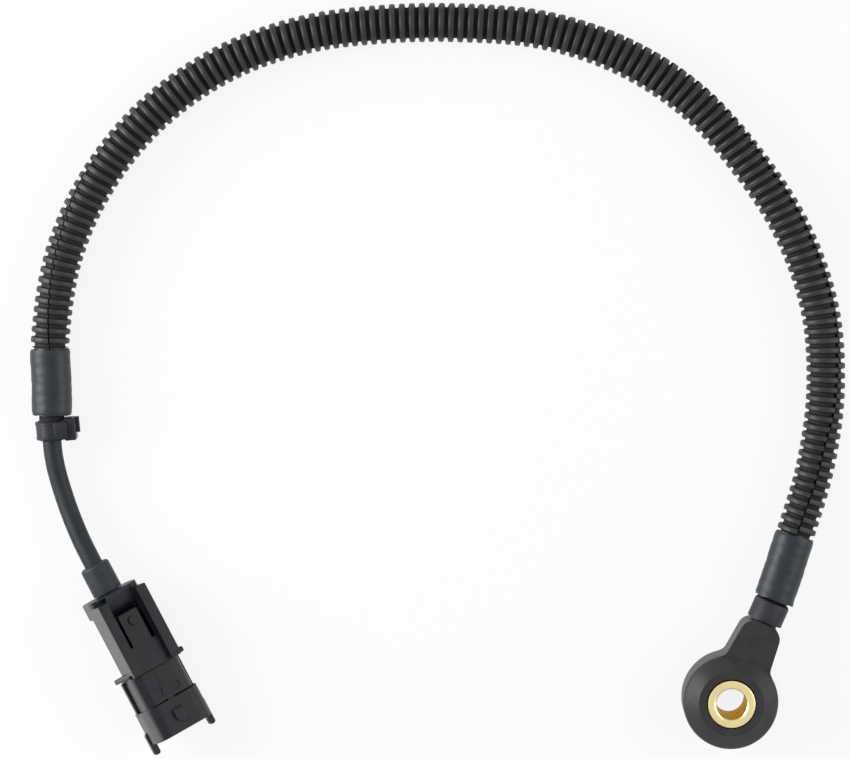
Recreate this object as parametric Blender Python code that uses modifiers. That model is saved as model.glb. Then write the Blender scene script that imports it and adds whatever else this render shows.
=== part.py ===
"""Engine knock sensor with its lead and plug, in metres, +Z up.

The head bolts down on its brass sleeve. The sleeve's contact face is z = 0, its bore runs
along +Z and the neck points along +Y. The lead lies on the same surface in a wide loop and
ends in a plug housing that lies rolled towards one side.
"""
import math

import bmesh
import bpy
from mathutils import Matrix, Vector

MM = 0.001
CLEARANCE = 0.3 * MM
WELD = 0.01 * MM
OVERRUN = 1.0 * MM
ROUND_STEPS = 40
SMALL_STEPS = 20
PIN_STEPS = 12
TUBE_SPACING = 3.0 * MM
SHARP_ANGLE = math.radians(35)
RIM_ANGLE = math.radians(50)

# Fixing sleeve
BORE_D = 8.4 * MM
BORE_CHAMFER = 0.5 * MM
SLEEVE_WALL = 2.3 * MM
FLANGE_T = 2.6 * MM
EDGE_CHAMFER = 0.3 * MM
SLEEVE_D = BORE_D + 2 * SLEEVE_WALL

# Sensing stack, sized outwards from the sleeve
STACK_RING = 3.2 * MM
INSULATOR_LAP = 0.3 * MM
INSULATOR_T = 0.5 * MM
CONTACT_T = 0.4 * MM
PIEZO_T = 2.4 * MM
MASS_T = 3.4 * MM
WASHER_SETBACK = 0.7 * MM
WASHER_T = 0.6 * MM
WASHER_RISE = 0.3 * MM
NUT_SETBACK = 0.3 * MM
NUT_T = 2.0 * MM
NUT_SLOT_WIDTH = 2.0 * MM
NUT_SLOT_DEPTH = 0.8 * MM
STACK_HOLE_D = SLEEVE_D + 2 * CLEARANCE
STACK_D = STACK_HOLE_D + 2 * STACK_RING
INSULATOR_D = STACK_D + 2 * INSULATOR_LAP
WASHER_D = STACK_D - 2 * WASHER_SETBACK
NUT_D = WASHER_D - 2 * NUT_SETBACK

# Moulded head, over the stack and the flange
FLANGE_RIM = 0.7 * MM
HEAD_WALL = 1.7 * MM
HEAD_COVER = 2.2 * MM
SHOULDER_DROP = 4.0 * MM
CROWN_DROP = 0.3 * MM
BASE_SETBACK = 0.4 * MM
CROWN_ROUND = 0.4 * MM
SHOULDER_ROUND = 0.8 * MM
BASE_ROUND = 0.5 * MM
NECK_DROP = 0.1 * MM
NECK_RISE = 0.2 * MM
NECK_OVERLAP = 1.5 * MM
NECK_LENGTH = 10.6 * MM
NECK_ROOT_WIDTH = 13.0 * MM
NECK_TIP_WIDTH = 10.5 * MM
NECK_CORNER = 4.0 * MM
NECK_FILLET = 3.0 * MM
NECK_EDGE = 0.5 * MM
FLANGE_D = INSULATOR_D + 2 * FLANGE_RIM
PUCK_D = FLANGE_D + 2 * (CLEARANCE + HEAD_WALL)
CROWN_D = NUT_D
NECK_REACH = PUCK_D / 2 + NECK_LENGTH

# Contact tabs and bleed resistor in the neck
TAB_WIDTH = 2.4 * MM
TAB_OFFSET = 1.6 * MM
TAB_LENGTH = 6.2 * MM
RESISTOR_OUT = 2.4 * MM
RESISTOR_D = 1.8 * MM
RESISTOR_LENGTH = 3.0 * MM
RESISTOR_WIRE_D = 0.5 * MM
RESISTOR_WIRE_X = 2.1 * MM
TAB_REACH = STACK_D / 2 + TAB_LENGTH
RESISTOR_Y = STACK_D / 2 + RESISTOR_OUT

# Cable and grommet
CABLE_D = 4.6 * MM
CABLE_Z = 7.2 * MM
CABLE_IN_NECK = 4.6 * MM
CORE_D = 1.3 * MM
HEAD_CORE_OFFSET = 1.1 * MM
HEAD_CORE_LAP = 2.4 * MM
HEAD_CORE_BEND = 2.4 * MM
GROMMET_D = 8.9 * MM
GROMMET_SHOWN = 6.1 * MM
GROMMET_RIM = 1.0 * MM
SPIGOT_D = 7.4 * MM
SPIGOT_LENGTH = 2.8 * MM
CABLE_START_Y = NECK_REACH - CABLE_IN_NECK
GROMMET_REACH = NECK_REACH + GROMMET_SHOWN

# Conduit, shrink sleeves, inner sleeve and tie, measured along the cable
CREST_D = 10.2 * MM
VALLEY_D = 8.4 * MM
CONDUIT_BORE_D = 6.8 * MM
RIB_PITCH = 2.66 * MM
SHRUNK_CREST_D = 8.7 * MM
SHRUNK_VALLEY_D = 8.0 * MM
HEAD_SHRINK_GAP = 0.8 * MM
SHRINK_LENGTH = 18.0 * MM
SHRINK_WALL = 0.5 * MM
CONDUIT_INSET = 1.0 * MM
CONDUIT_VISIBLE = 361.4 * MM
INNER_SLEEVE_WALL = 0.4 * MM
INNER_SLEEVE_HIDDEN = 6.0 * MM
INNER_SLEEVE_SHOWN = 6.9 * MM
TIE_DISTANCE = 4.1 * MM
TIE_WIDTH = 3.9 * MM
TIE_T = 0.5 * MM
TIE_HEAD_WIDTH = 6.0 * MM
TIE_HEAD_REACH = 2.3 * MM
TIE_HEAD_HEIGHT = 5.0 * MM
TIE_STUB_REACH = 0.7 * MM
TIE_STUB_WIDTH = 4.1 * MM
TIE_STUB_T = 1.3 * MM
TIE_STUB_OFFSET = 0.9 * MM

# Where the plug lies, from the bore axis
PLUG_X = -168.15 * MM
PLUG_Y = -40.86 * MM
PLUG_Z = 7.5 * MM
PLUG_YAW = math.radians(-39.2)
PLUG_ROLL = math.radians(-25.7)

# Plug boot
BOOT_D = 8.1 * MM
BOOT_LENGTH = 8.3 * MM
BOOT_RIM = 0.8 * MM
BOOT_SPIGOT_D = 6.6 * MM
BOOT_SPIGOT_LENGTH = 5.5 * MM

# Plug housing: s is the distance from its rear face to the mouth
PLUG_LENGTH = 42.75 * MM
BODY_WIDTH = 14.6 * MM
BODY_HEIGHT = 11.4 * MM
BODY_ROUND = 5.4 * MM
REAR_PLATE_WIDTH = 15.6 * MM
REAR_PLATE_HEIGHT = 11.8 * MM
REAR_PLATE_ROUND = 5.6 * MM
REAR_PLATE_T = 1.2 * MM
REAR_LUG_LENGTH = 4.8 * MM
REAR_LUG_HEIGHT = 4.0 * MM
RAIL_START = 1.8 * MM
RAIL_END = 23.7 * MM
RAIL_WIDTH = 15.2 * MM
RAIL_TOP = 8.6 * MM
RAIL_FACE = 2.9 * MM
RAIL_LIP_T = 1.2 * MM
RAIL_UNDERCUT = 1.3 * MM
CHANNEL_FLOOR = 6.5 * MM
TONGUE_POCKET_START = 1.2 * MM
TONGUE_START = 6.7 * MM
TONGUE_END = 16.2 * MM
TONGUE_WIDTH = 6.1 * MM
TONGUE_T = 1.3 * MM
TONGUE_SLOT = 1.3 * MM
TONGUE_ROOM = 0.8 * MM
TONGUE_MARK_D = 2.5 * MM
TONGUE_MARK_S = 9.3 * MM
MARK_DEPTH = 0.3 * MM
PEG_D = 1.5 * MM
PEG_S = 22.65 * MM
PEG_STAGGER = 0.6 * MM
PEG_Z = 2.1 * MM
PEG_REACH = 10.8 * MM
MIDDLE_WIDTH = 16.1 * MM
MIDDLE_HEIGHT = 11.2 * MM
MIDDLE_ROUND = 3.4 * MM
MIDDLE_LIFT = 0.4 * MM
SHROUD_START = 33.2 * MM
SHROUD_WIDTH = 18.5 * MM
SHROUD_HEIGHT = 11.6 * MM
SHROUD_ROUND = 4.5 * MM
SHROUD_LIFT = 0.4 * MM
SHROUD_WALL = 1.5 * MM
MOUTH_DEPTH = 9.2 * MM
MIDDLE_RIB_WIDTH = 2.6 * MM
MIDDLE_RIB_RISE = 0.1 * MM
MIDDLE_MARK_D = 2.6 * MM
MIDDLE_MARK_S = 30.8 * MM
MIDDLE_MARK_OFFSET = 2.7 * MM
CROSS_SLOT = 0.5 * MM
CROSS_SLOT_DEPTH = 1.0 * MM
CROSS_SLOT_END = 6.2 * MM
FIN_REACH = 9.1 * MM
FIN_T = 1.6 * MM
FIN_START = 23.9 * MM
EAR_REACH = 9.85 * MM
EAR_WIDTH = 1.7 * MM
EAR_T = 2.4 * MM
EAR_ROUND = 0.75 * MM
EAR_START = 39.0 * MM
EAR_OVERHANG = 2.9 * MM
NUB_S = 36.5 * MM
NUB_LENGTH = 3.6 * MM
NUB_WIDTH = 3.3 * MM
NUB_HEIGHT = 1.0 * MM
NUB_ROUND = 1.5 * MM
PLUG_EDGE = 0.3 * MM

# Terminals and cores inside the plug
WIRE_ROOM_START = 5.5 * MM
WIRE_ROOM_END = 22.0 * MM
WIRE_ROOM_WIDTH = 10.6 * MM
WIRE_ROOM_FLOOR = 2.6 * MM
WIRE_ROOM_TOP = 2.4 * MM
TERMINAL_PITCH = 4.0 * MM
BLADE_WIDTH = 2.8 * MM
BLADE_T = 0.8 * MM
BLADE_TIP_SETBACK = 3.4 * MM
BLADE_TIP_CHAMFER = 0.6 * MM
TAIL_WIDTH = 1.8 * MM
TAIL_START = 17.5 * MM
PLUG_CORE_BEND = 2.0 * MM
TAIL_END = 22.4 * MM
CABLE_IN_PLUG = 7.5 * MM
PLUG_CORE_END = 21.0 * MM

# The lead's route over the surface, from the bore axis in millimetres
LOOP_POINTS_MM = [
    (-1.6, 48.2, 5.9), (-4.0, 67.5, 5.3), (-9.8, 87.9, 5.3), (-20.2, 107.8, 5.3),
    (-35.6, 124.4, 5.3), (-54.4, 136.9, 5.3), (-75.0, 146.1, 5.3), (-97.3, 149.7, 5.3),
    (-119.6, 147.7, 5.3), (-140.6, 140.8, 5.3), (-160.5, 131.8, 5.3), (-179.6, 120.3, 5.3),
    (-196.2, 104.6, 5.3), (-208.4, 85.0, 5.3), (-215.1, 62.7, 5.3), (-215.8, 39.5, 5.3),
    (-210.0, 16.2, 5.3), (-205.2, 5.9, 5.3), (-201.2, -2.4, 5.3), (-199.2, -6.8, 5.2),
    (-195.6, -13.6, 4.7), (-189.0, -22.5, 4.7), (-181.2, -30.2, 6.2),
]

# Looks: base colour, roughness and metallic value
BLACK_PLASTIC = ((0.030, 0.030, 0.032), 0.5, 0.0)
GREY_PLASTIC = ((0.050, 0.050, 0.053), 0.5, 0.0)
DARK_RUBBER = ((0.040, 0.041, 0.043), 0.6, 0.0)
SHRINK_FILM = ((0.042, 0.046, 0.050), 0.55, 0.0)
BRASS = ((0.78, 0.64, 0.36), 0.3, 1.0)
STEEL = ((0.55, 0.55, 0.56), 0.35, 1.0)
TINNED = ((0.72, 0.72, 0.70), 0.3, 1.0)
CERAMIC = ((0.75, 0.73, 0.68), 0.6, 0.0)
AMBER_FILM = ((0.60, 0.35, 0.10), 0.4, 0.0)
CORE_WHITE = ((0.75, 0.75, 0.72), 0.5, 0.0)
CORE_BLUE = ((0.08, 0.16, 0.45), 0.5, 0.0)
CORE_BARE = ((0.70, 0.45, 0.30), 0.35, 1.0)

# Places worked out from the sizes above
BORE_Y = -(GROMMET_REACH - PUCK_D / 2) / 2
GROMMET_START = NECK_REACH + CLEARANCE
CABLE_HOLE_D = CABLE_D + 2 * CLEARANCE
SHRINK_BORE_D = SHRUNK_CREST_D + 2 * CLEARANCE
INNER_SLEEVE_D = CABLE_HOLE_D + 2 * INNER_SLEEVE_WALL
TIE_BORE_D = INNER_SLEEVE_D + 2 * CLEARANCE
TERMINAL_OFFSETS = (-TERMINAL_PITCH, 0.0, TERMINAL_PITCH)

for leftover in list(bpy.data.objects):
    bpy.data.objects.remove(leftover)

parts = bpy.data.collections.new("knock_sensor")
bpy.context.scene.collection.children.link(parts)
frames = bpy.data.collections.new("frames")
bpy.context.scene.collection.children.link(frames)


def add_frame(name, matrix, parent=None):
    """An empty that places a group of pieces."""
    frame = bpy.data.objects.new(name, None)
    frames.objects.link(frame)
    frame.parent = parent
    frame.matrix_local = matrix
    return frame


def evaluated_mesh(shape):
    """The shape's mesh with its modifiers and its place applied."""
    bpy.context.view_layer.update()
    depsgraph = bpy.context.evaluated_depsgraph_get()
    mesh = bpy.data.meshes.new_from_object(shape.evaluated_get(depsgraph))
    mesh.transform(shape.matrix_world)
    return mesh


def settled(shape, place=None):
    """Swap a curve or a mesh with modifiers for the closed mesh object that it shows as."""
    mesh = evaluated_mesh(shape)
    grid = bmesh.new()
    grid.from_mesh(mesh)
    bmesh.ops.remove_doubles(grid, verts=grid.verts, dist=WELD)
    bmesh.ops.recalc_face_normals(grid, faces=grid.faces)
    grid.to_mesh(mesh)
    grid.free()
    if place is not None:
        mesh.transform(place)
    name = shape.name
    bpy.data.objects.remove(shape)
    solid = bpy.data.objects.new(name, mesh)
    bpy.context.scene.collection.objects.link(solid)
    return solid


def add_piece(name, look, base, joined=(), cut=(), parent=None):
    """One named part: a base solid with others joined to it and cut from it."""
    for operation, tools in (("UNION", joined), ("DIFFERENCE", cut)):
        for tool in tools:
            modifier = base.modifiers.new(tool.name, "BOOLEAN")
            modifier.operation = operation
            modifier.object = tool
    mesh = evaluated_mesh(base)
    for shape in [base, *joined, *cut]:
        bpy.data.objects.remove(shape)
    mesh.shade_smooth()
    mesh.set_sharp_from_angle(angle=SHARP_ANGLE)
    colour, roughness, metallic = look
    material = bpy.data.materials.new(name)
    material.use_nodes = True
    shader = material.node_tree.nodes["Principled BSDF"]
    shader.inputs["Base Color"].default_value = (*colour, 1.0)
    shader.inputs["Roughness"].default_value = roughness
    shader.inputs["Metallic"].default_value = metallic
    mesh.materials.clear()
    mesh.materials.append(material)
    piece = bpy.data.objects.new(name, mesh)
    parts.objects.link(piece)
    piece.parent = parent
    return piece


def rounded(corners, steps=4):
    """An outline with its (x, y, radius) corners drawn as arcs; radius 0 stays sharp."""
    points = []
    for index, (x, y, radius) in enumerate(corners):
        corner = Vector((x, y))
        if radius == 0:
            points.append(corner)
            continue
        before = Vector(corners[index - 1][:2]) - corner
        after = Vector(corners[(index + 1) % len(corners)][:2]) - corner
        half = before.angle(after) / 2
        middle = (before.normalized() + after.normalized()).normalized()
        centre = corner + middle * (radius / math.sin(half))
        first = corner + before.normalized() * (radius / math.tan(half)) - centre
        last = corner + after.normalized() * (radius / math.tan(half)) - centre
        sweep = math.atan2(first.x * last.y - first.y * last.x, first.dot(last))
        for step in range(steps + 1):
            turn = Matrix.Rotation(sweep * step / steps, 2)
            points.append(centre + turn @ first)
    return points


def racetrack(width, height, radius, steps=4):
    """A rectangle about the origin with large round corners."""
    x = width / 2
    y = height / 2
    return rounded([(x, y, radius), (-x, y, radius), (-x, -y, radius), (x, -y, radius)], steps)


def turned(name, profile, steps=ROUND_STEPS, place=None):
    """A profile of (radius, height) points, outer side from the top down, turned about Z.

    A profile that starts and ends on the axis makes a solid; any other closes on itself.
    """
    solid = profile[0][0] == 0 and profile[-1][0] == 0
    count = len(profile)
    edges = [(index, index + 1) for index in range(count - 1)]
    if not solid:
        edges.append((count - 1, 0))
    mesh = bpy.data.meshes.new(name)
    mesh.from_pydata([(point[0], 0.0, point[1]) for point in profile], edges, [])
    shape = bpy.data.objects.new(name, mesh)
    bpy.context.scene.collection.objects.link(shape)
    screw = shape.modifiers.new("Turn", "SCREW")
    screw.steps = steps
    screw.render_steps = steps
    screw.use_merge_vertices = True
    screw.merge_threshold = WELD
    return settled(shape, place)


def extruded(name, outline, low, high, place=None, soft=0.0):
    """A flat outline in X and Y, drawn out from height low to high, its rims rounded."""
    curve = bpy.data.curves.new(name, "CURVE")
    curve.dimensions = "2D"
    curve.fill_mode = "BOTH"
    curve.extrude = (high - low) / 2
    spline = curve.splines.new("POLY")
    spline.points.add(len(outline) - 1)
    for point, corner in zip(spline.points, outline):
        point.co = (corner[0], corner[1], 0.0, 1.0)
    spline.use_cyclic_u = True
    shape = bpy.data.objects.new(name, curve)
    bpy.context.scene.collection.objects.link(shape)
    shape.location.z = (low + high) / 2
    solid = settled(shape)
    if soft:
        bevel = solid.modifiers.new("Rims", "BEVEL")
        bevel.width = soft
        bevel.segments = 2
        bevel.angle_limit = RIM_ANGLE
    return settled(solid, place)


def box(name, low, high):
    """A block between two opposite corners."""
    mesh = bpy.data.meshes.new(name)
    grid = bmesh.new()
    bmesh.ops.create_cube(grid, size=1.0)
    size = Vector(high) - Vector(low)
    bmesh.ops.scale(grid, vec=size, verts=grid.verts)
    bmesh.ops.translate(grid, vec=Vector(low) + size / 2, verts=grid.verts)
    grid.to_mesh(mesh)
    grid.free()
    block = bpy.data.objects.new(name, mesh)
    bpy.context.scene.collection.objects.link(block)
    return block


def rod(name, diameter, start, end, steps=SMALL_STEPS):
    """A plain round bar between two points."""
    run = Vector(end) - Vector(start)
    place = Matrix.Translation(Vector(start)) @ run.to_track_quat("Z", "Y").to_matrix().to_4x4()
    radius = diameter / 2
    profile = [(0, run.length), (radius, run.length), (radius, 0), (0, 0)]
    return turned(name, profile, steps, place)


def tube(name, points, diameter, resolution=2, widths=None):
    """A round tube through the points; widths scales its diameter point by point."""
    curve = bpy.data.curves.new(name, "CURVE")
    curve.dimensions = "3D"
    curve.bevel_depth = diameter / 2
    curve.bevel_resolution = resolution
    curve.use_fill_caps = True
    spline = curve.splines.new("POLY")
    spline.points.add(len(points) - 1)
    for index, place in enumerate(points):
        spline.points[index].co = (*place, 1.0)
        if widths:
            spline.points[index].radius = widths[index]
    shape = bpy.data.objects.new(name, curve)
    bpy.context.scene.collection.objects.link(shape)
    return settled(shape)


class Route:
    """A smooth curve through route points, read by the distance along it."""

    def __init__(self, points, divisions=24):
        knots = [Vector(point) for point in points]
        knots.insert(0, 2 * knots[0] - knots[1])
        knots.append(2 * knots[-1] - knots[-2])
        self.places = [knots[1]]
        self.distances = [0.0]
        for index in range(1, len(knots) - 2):
            for division in range(1, divisions + 1):
                place = self.between(knots[index - 1:index + 3], division / divisions)
                run = (place - self.places[-1]).length
                self.places.append(place)
                self.distances.append(self.distances[-1] + run)
        self.length = self.distances[-1]

    @staticmethod
    def between(knots, share):
        """A point between the middle two of four knots, spaced by their chord lengths."""
        times = [0.0]
        for first, last in zip(knots, knots[1:]):
            times.append(times[-1] + math.sqrt((last - first).length))
        time = times[1] + (times[2] - times[1]) * share

        def mixed(first, last, start, end):
            return first + (last - first) * ((time - times[start]) / (times[end] - times[start]))

        lines = [mixed(knots[i], knots[i + 1], i, i + 1) for i in range(3)]
        bends = [mixed(lines[i], lines[i + 1], i, i + 2) for i in range(2)]
        return mixed(bends[0], bends[1], 1, 2)

    def at(self, distance):
        """The point at a distance along the route."""
        index = 1
        while index < len(self.distances) - 1 and self.distances[index] < distance:
            index += 1
        start = self.distances[index - 1]
        share = (distance - start) / (self.distances[index] - start)
        return self.places[index - 1].lerp(self.places[index], share)

    def along(self, distance):
        """The direction of travel at a distance along the route."""
        return (self.at(distance + MM / 2) - self.at(distance - MM / 2)).normalized()

    def stretch(self, start, end, spacing):
        """Evenly spaced points from one distance to another."""
        count = max(2, round((end - start) / spacing))
        return [self.at(start + (end - start) * step / count) for step in range(count + 1)]


def neck_outline():
    """The neck's plan, with its hollow fillets into the puck, right side and then left."""
    root = Vector((NECK_ROOT_WIDTH / 2, PUCK_D / 2 - NECK_OVERLAP))
    tip = Vector((NECK_TIP_WIDTH / 2, NECK_REACH))
    along = (tip - root).normalized()
    outward = Vector((along.y, -along.x))
    start = root + outward * NECK_FILLET
    reach = PUCK_D / 2 + NECK_FILLET
    middle = -start.dot(along)
    travel = middle + math.sqrt(middle ** 2 - start.length_squared + reach ** 2)
    centre = start + along * travel
    on_puck = centre * (PUCK_D / 2 / reach)
    on_side = centre - outward * NECK_FILLET
    first = on_puck - centre
    last = on_side - centre
    sweep = math.atan2(first.x * last.y - first.y * last.x, first.dot(last))
    fillet = [centre + Matrix.Rotation(sweep * step / 5, 2) @ first for step in range(6)]
    side = [(on_puck.x / 2, 0.0, 0), *((x, y, 0) for x, y in fillet), (*tip, NECK_CORNER)]
    return rounded([*side, *((-x, y, radius) for x, y, radius in reversed(side))], 5)


def ring(name, outer, inner, low, high, chamfer=0.0, steps=SMALL_STEPS, place=None):
    """A flat ring whose outer edges may be chamfered."""
    r = outer / 2
    hole = inner / 2
    if chamfer:
        rim = [(r - chamfer, high), (r, high - chamfer), (r, low + chamfer), (r - chamfer, low)]
    else:
        rim = [(r, high), (r, low)]
    return turned(name, [*rim, (hole, low), (hole, high)], steps, place)


# Sensing stack levels, from the flange up, each layer a clearance above the last
level = FLANGE_T
stack = {}
for layer, thickness in (
    ("lower_insulator", INSULATOR_T),
    ("lower_contact_disc", CONTACT_T),
    ("piezo_ring", PIEZO_T),
    ("upper_contact_disc", CONTACT_T),
    ("upper_insulator", INSULATOR_T),
    ("seismic_mass", MASS_T),
    ("spring_washer", WASHER_T + WASHER_RISE),
    ("retaining_nut", NUT_T),
):
    low = level + CLEARANCE
    level = low + thickness
    stack[layer] = (low, level)
pocket_top = level + CLEARANCE
sleeve_top = pocket_top + HEAD_COVER
wall_top = sleeve_top - SHOULDER_DROP

head = add_frame("head_frame", Matrix.Translation((0, BORE_Y, 0)))


def make_sleeve():
    """Turned brass sleeve with its seat flange and chamfered bore."""
    bore = BORE_D / 2
    mouth = bore + BORE_CHAMFER
    wall = SLEEVE_D / 2
    seat = FLANGE_D / 2
    profile = [
        (wall - EDGE_CHAMFER, sleeve_top), (wall, sleeve_top - EDGE_CHAMFER),
        (wall, FLANGE_T), (seat - EDGE_CHAMFER, FLANGE_T), (seat, FLANGE_T - EDGE_CHAMFER),
        (seat, EDGE_CHAMFER), (seat - EDGE_CHAMFER, 0), (mouth, 0),
        (bore, BORE_CHAMFER), (bore, sleeve_top - BORE_CHAMFER), (mouth, sleeve_top),
    ]
    add_piece("fixing_sleeve", BRASS, turned("sleeve", profile), parent=head)


def make_housing():
    """Moulded puck and neck, with the stack's pocket, the tabs' room and the cable's way out."""
    puck_r = PUCK_D / 2
    crown = sleeve_top - CROWN_DROP
    core = BORE_D / 2
    outside = rounded([
        (core, crown, 0), (CROWN_D / 2, crown, CROWN_ROUND), (puck_r, wall_top, SHOULDER_ROUND),
        (puck_r, BASE_SETBACK, BASE_ROUND), (core, BASE_SETBACK, 0),
    ], 3)
    puck = turned("puck", outside)
    neck = extruded("neck", neck_outline(), BASE_SETBACK + NECK_RISE, wall_top - NECK_DROP,
                    soft=NECK_EDGE)
    sleeve_hole = STACK_HOLE_D / 2
    nut_room = WASHER_D / 2 + 2 * CLEARANCE
    stack_room = INSULATOR_D / 2 + CLEARANCE
    flange_room = FLANGE_D / 2 + CLEARANCE
    flange_top = FLANGE_T + CLEARANCE
    washer_low = stack["spring_washer"][0]
    below = -OVERRUN
    pocket = turned("pocket", [
        (0, sleeve_top + OVERRUN), (sleeve_hole, sleeve_top + OVERRUN),
        (sleeve_hole, pocket_top),
        (nut_room, pocket_top), (nut_room, washer_low), (stack_room, washer_low),
        (stack_room, flange_top), (flange_room, flange_top), (flange_room, below), (0, below),
    ])
    chamber_floor = stack["lower_contact_disc"][0] - CLEARANCE
    chamber_top = stack["upper_contact_disc"][1] + CORE_D + 2 * CLEARANCE
    chamber_reach = CABLE_START_Y - 2 * CLEARANCE
    chamber_side = TAB_OFFSET + TAB_WIDTH / 2 + 2 * CLEARANCE
    chamber = box("chamber", (-chamber_side, STACK_D / 2 - OVERRUN, chamber_floor),
                  (chamber_side, chamber_reach, chamber_top))
    cable_hole = rod("cable_hole", CABLE_HOLE_D, (0, chamber_reach - OVERRUN, CABLE_Z),
                     (0, NECK_REACH + OVERRUN, CABLE_Z))
    spigot_hole = rod("spigot_hole", SPIGOT_D + 2 * CLEARANCE,
                      (0, GROMMET_START - SPIGOT_LENGTH - CLEARANCE, CABLE_Z),
                      (0, NECK_REACH + OVERRUN, CABLE_Z), SMALL_STEPS)
    add_piece("head_housing", BLACK_PLASTIC, puck, [neck],
              [pocket, chamber, cable_hole, spigot_hole], head)


def make_stack():
    """Insulators, contact discs with their tabs, ceramic, mass, washer and nut."""
    for name in ("lower_insulator", "upper_insulator"):
        disc = ring(name, INSULATOR_D, STACK_HOLE_D, *stack[name])
        add_piece(name, AMBER_FILM, disc, parent=head)
    for name, side in (("lower_contact_disc", -1), ("upper_contact_disc", 1)):
        low, high = stack[name]
        disc = ring(name, STACK_D, STACK_HOLE_D + 2 * CLEARANCE, low, high)
        inner = side * TAB_OFFSET - TAB_WIDTH / 2
        tab = box("tab", (inner, STACK_D / 2 - OVERRUN, low),
                  (inner + TAB_WIDTH, TAB_REACH, high))
        add_piece(name, TINNED, disc, [tab], parent=head)
    for name, look in (("piezo_ring", CERAMIC), ("seismic_mass", STEEL)):
        solid = ring(name, STACK_D, STACK_HOLE_D, *stack[name], EDGE_CHAMFER)
        add_piece(name, look, solid, parent=head)
    low = stack["spring_washer"][0]
    rim = WASHER_D / 2
    hole = STACK_HOLE_D / 2
    cone = turned("washer", [
        (rim, low + WASHER_T), (rim, low), (hole, low + WASHER_RISE),
        (hole, low + WASHER_RISE + WASHER_T),
    ], SMALL_STEPS)
    add_piece("spring_washer", STEEL, cone, parent=head)
    low, high = stack["retaining_nut"]
    nut = ring("nut", NUT_D, STACK_HOLE_D, low, high, EDGE_CHAMFER)
    width = NUT_SLOT_WIDTH / 2
    slots = []
    for reach_x, reach_y in ((NUT_D, width), (width, NUT_D)):
        slots.append(box("nut_slot", (-reach_x, -reach_y, high - NUT_SLOT_DEPTH),
                         (reach_x, reach_y, high + OVERRUN)))
    add_piece("retaining_nut", STEEL, nut, cut=slots, parent=head)


def make_resistor():
    """Bleed resistor that stands between the lower and the upper contact tab."""
    foot = stack["lower_contact_disc"][1] + CLEARANCE
    top = stack["upper_contact_disc"][0] - CLEARANCE
    middle = (foot + top) / 2
    bend = RESISTOR_WIRE_D
    path = rounded([
        (-RESISTOR_WIRE_X, foot, 0), (-RESISTOR_WIRE_X, middle, bend),
        (RESISTOR_WIRE_X, middle, bend), (RESISTOR_WIRE_X, top, 0),
    ], 3)
    wire = tube("wire", [(x, RESISTOR_Y, z) for x, z in path], RESISTOR_WIRE_D)
    half = RESISTOR_LENGTH / 2
    body = rod("body", RESISTOR_D, (-half, RESISTOR_Y, middle), (half, RESISTOR_Y, middle),
               PIN_STEPS)
    add_piece("shunt_resistor", CORE_BLUE, body, [wire], parent=head)


def make_head_cores():
    """The cable's two cores, from the jacket's end to the contact tabs."""
    start = CABLE_START_Y - CLEARANCE
    for name, look, side, disc in (
        ("signal_core", CORE_WHITE, 1, "upper_contact_disc"),
        ("ground_core", CORE_BLUE, -1, "lower_contact_disc"),
    ):
        seat = stack[disc][1] + CLEARANCE + CORE_D / 2
        ends = side * HEAD_CORE_OFFSET
        rest = side * TAB_OFFSET
        bend = Route([
            (ends, start, CABLE_Z), (ends, start - HEAD_CORE_BEND / 4, CABLE_Z),
            (rest, start - HEAD_CORE_BEND, seat), (rest, TAB_REACH - HEAD_CORE_LAP, seat),
        ])
        core = tube(name, bend.stretch(0, bend.length, CORE_D / 2), CORE_D)
        add_piece(name, look, core, parent=head)


def make_grommet():
    """Round collar with a spigot in the neck, bored for the cable."""
    r = GROMMET_D / 2
    spigot = SPIGOT_D / 2
    hole = CABLE_HOLE_D / 2
    back = GROMMET_START - SPIGOT_LENGTH
    profile = rounded([
        (hole, GROMMET_REACH, 0), (r, GROMMET_REACH, GROMMET_RIM), (r, GROMMET_START, 0),
        (spigot, GROMMET_START, 0), (spigot, back, 0), (hole, back, 0),
    ])
    place = Matrix.Translation((0, 0, CABLE_Z)) @ Matrix.Rotation(math.radians(-90), 4, "X")
    add_piece("cable_grommet", GREY_PLASTIC, turned("grommet", profile, SMALL_STEPS, place),
              parent=head)


turn_to_x = Matrix.Rotation(math.radians(90), 4, "Y")
plug_matrix = (
    Matrix.Translation((PLUG_X, PLUG_Y, PLUG_Z))
    @ Matrix.Rotation(PLUG_YAW, 4, "Z") @ Matrix.Rotation(PLUG_ROLL, 4, "X")
)
route = Route([
    (0, CABLE_START_Y, CABLE_Z), (0, (CABLE_START_Y + GROMMET_REACH) / 2, CABLE_Z),
    (0, GROMMET_REACH, CABLE_Z),
    *(Vector(point) * MM for point in LOOP_POINTS_MM),
    plug_matrix @ Vector((-BOOT_LENGTH, 0, 0)), plug_matrix @ Vector((0, 0, 0)),
    plug_matrix @ Vector((CABLE_IN_PLUG, 0, 0)),
])
head_shrink_start = GROMMET_REACH - CABLE_START_Y + HEAD_SHRINK_GAP
head_shrink_end = head_shrink_start + SHRINK_LENGTH
plug_shrink_start = head_shrink_end + CONDUIT_VISIBLE
plug_shrink_end = plug_shrink_start + SHRINK_LENGTH
conduit_start = head_shrink_start + CONDUIT_INSET
conduit_end = plug_shrink_end - CONDUIT_INSET


def hollow_tube(name, look, start, end, outer, inner, spacing, resolution=4, widths=None):
    """A tube round the cable between two distances, bored right through."""
    points = route.stretch(start, end, spacing)
    wall = tube(name, points, outer, resolution, widths)
    bore = tube("bore", route.stretch(start - OVERRUN, end + OVERRUN, 2 * inner), inner,
                resolution)
    add_piece(name, look, wall, cut=[bore], parent=head)


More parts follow.
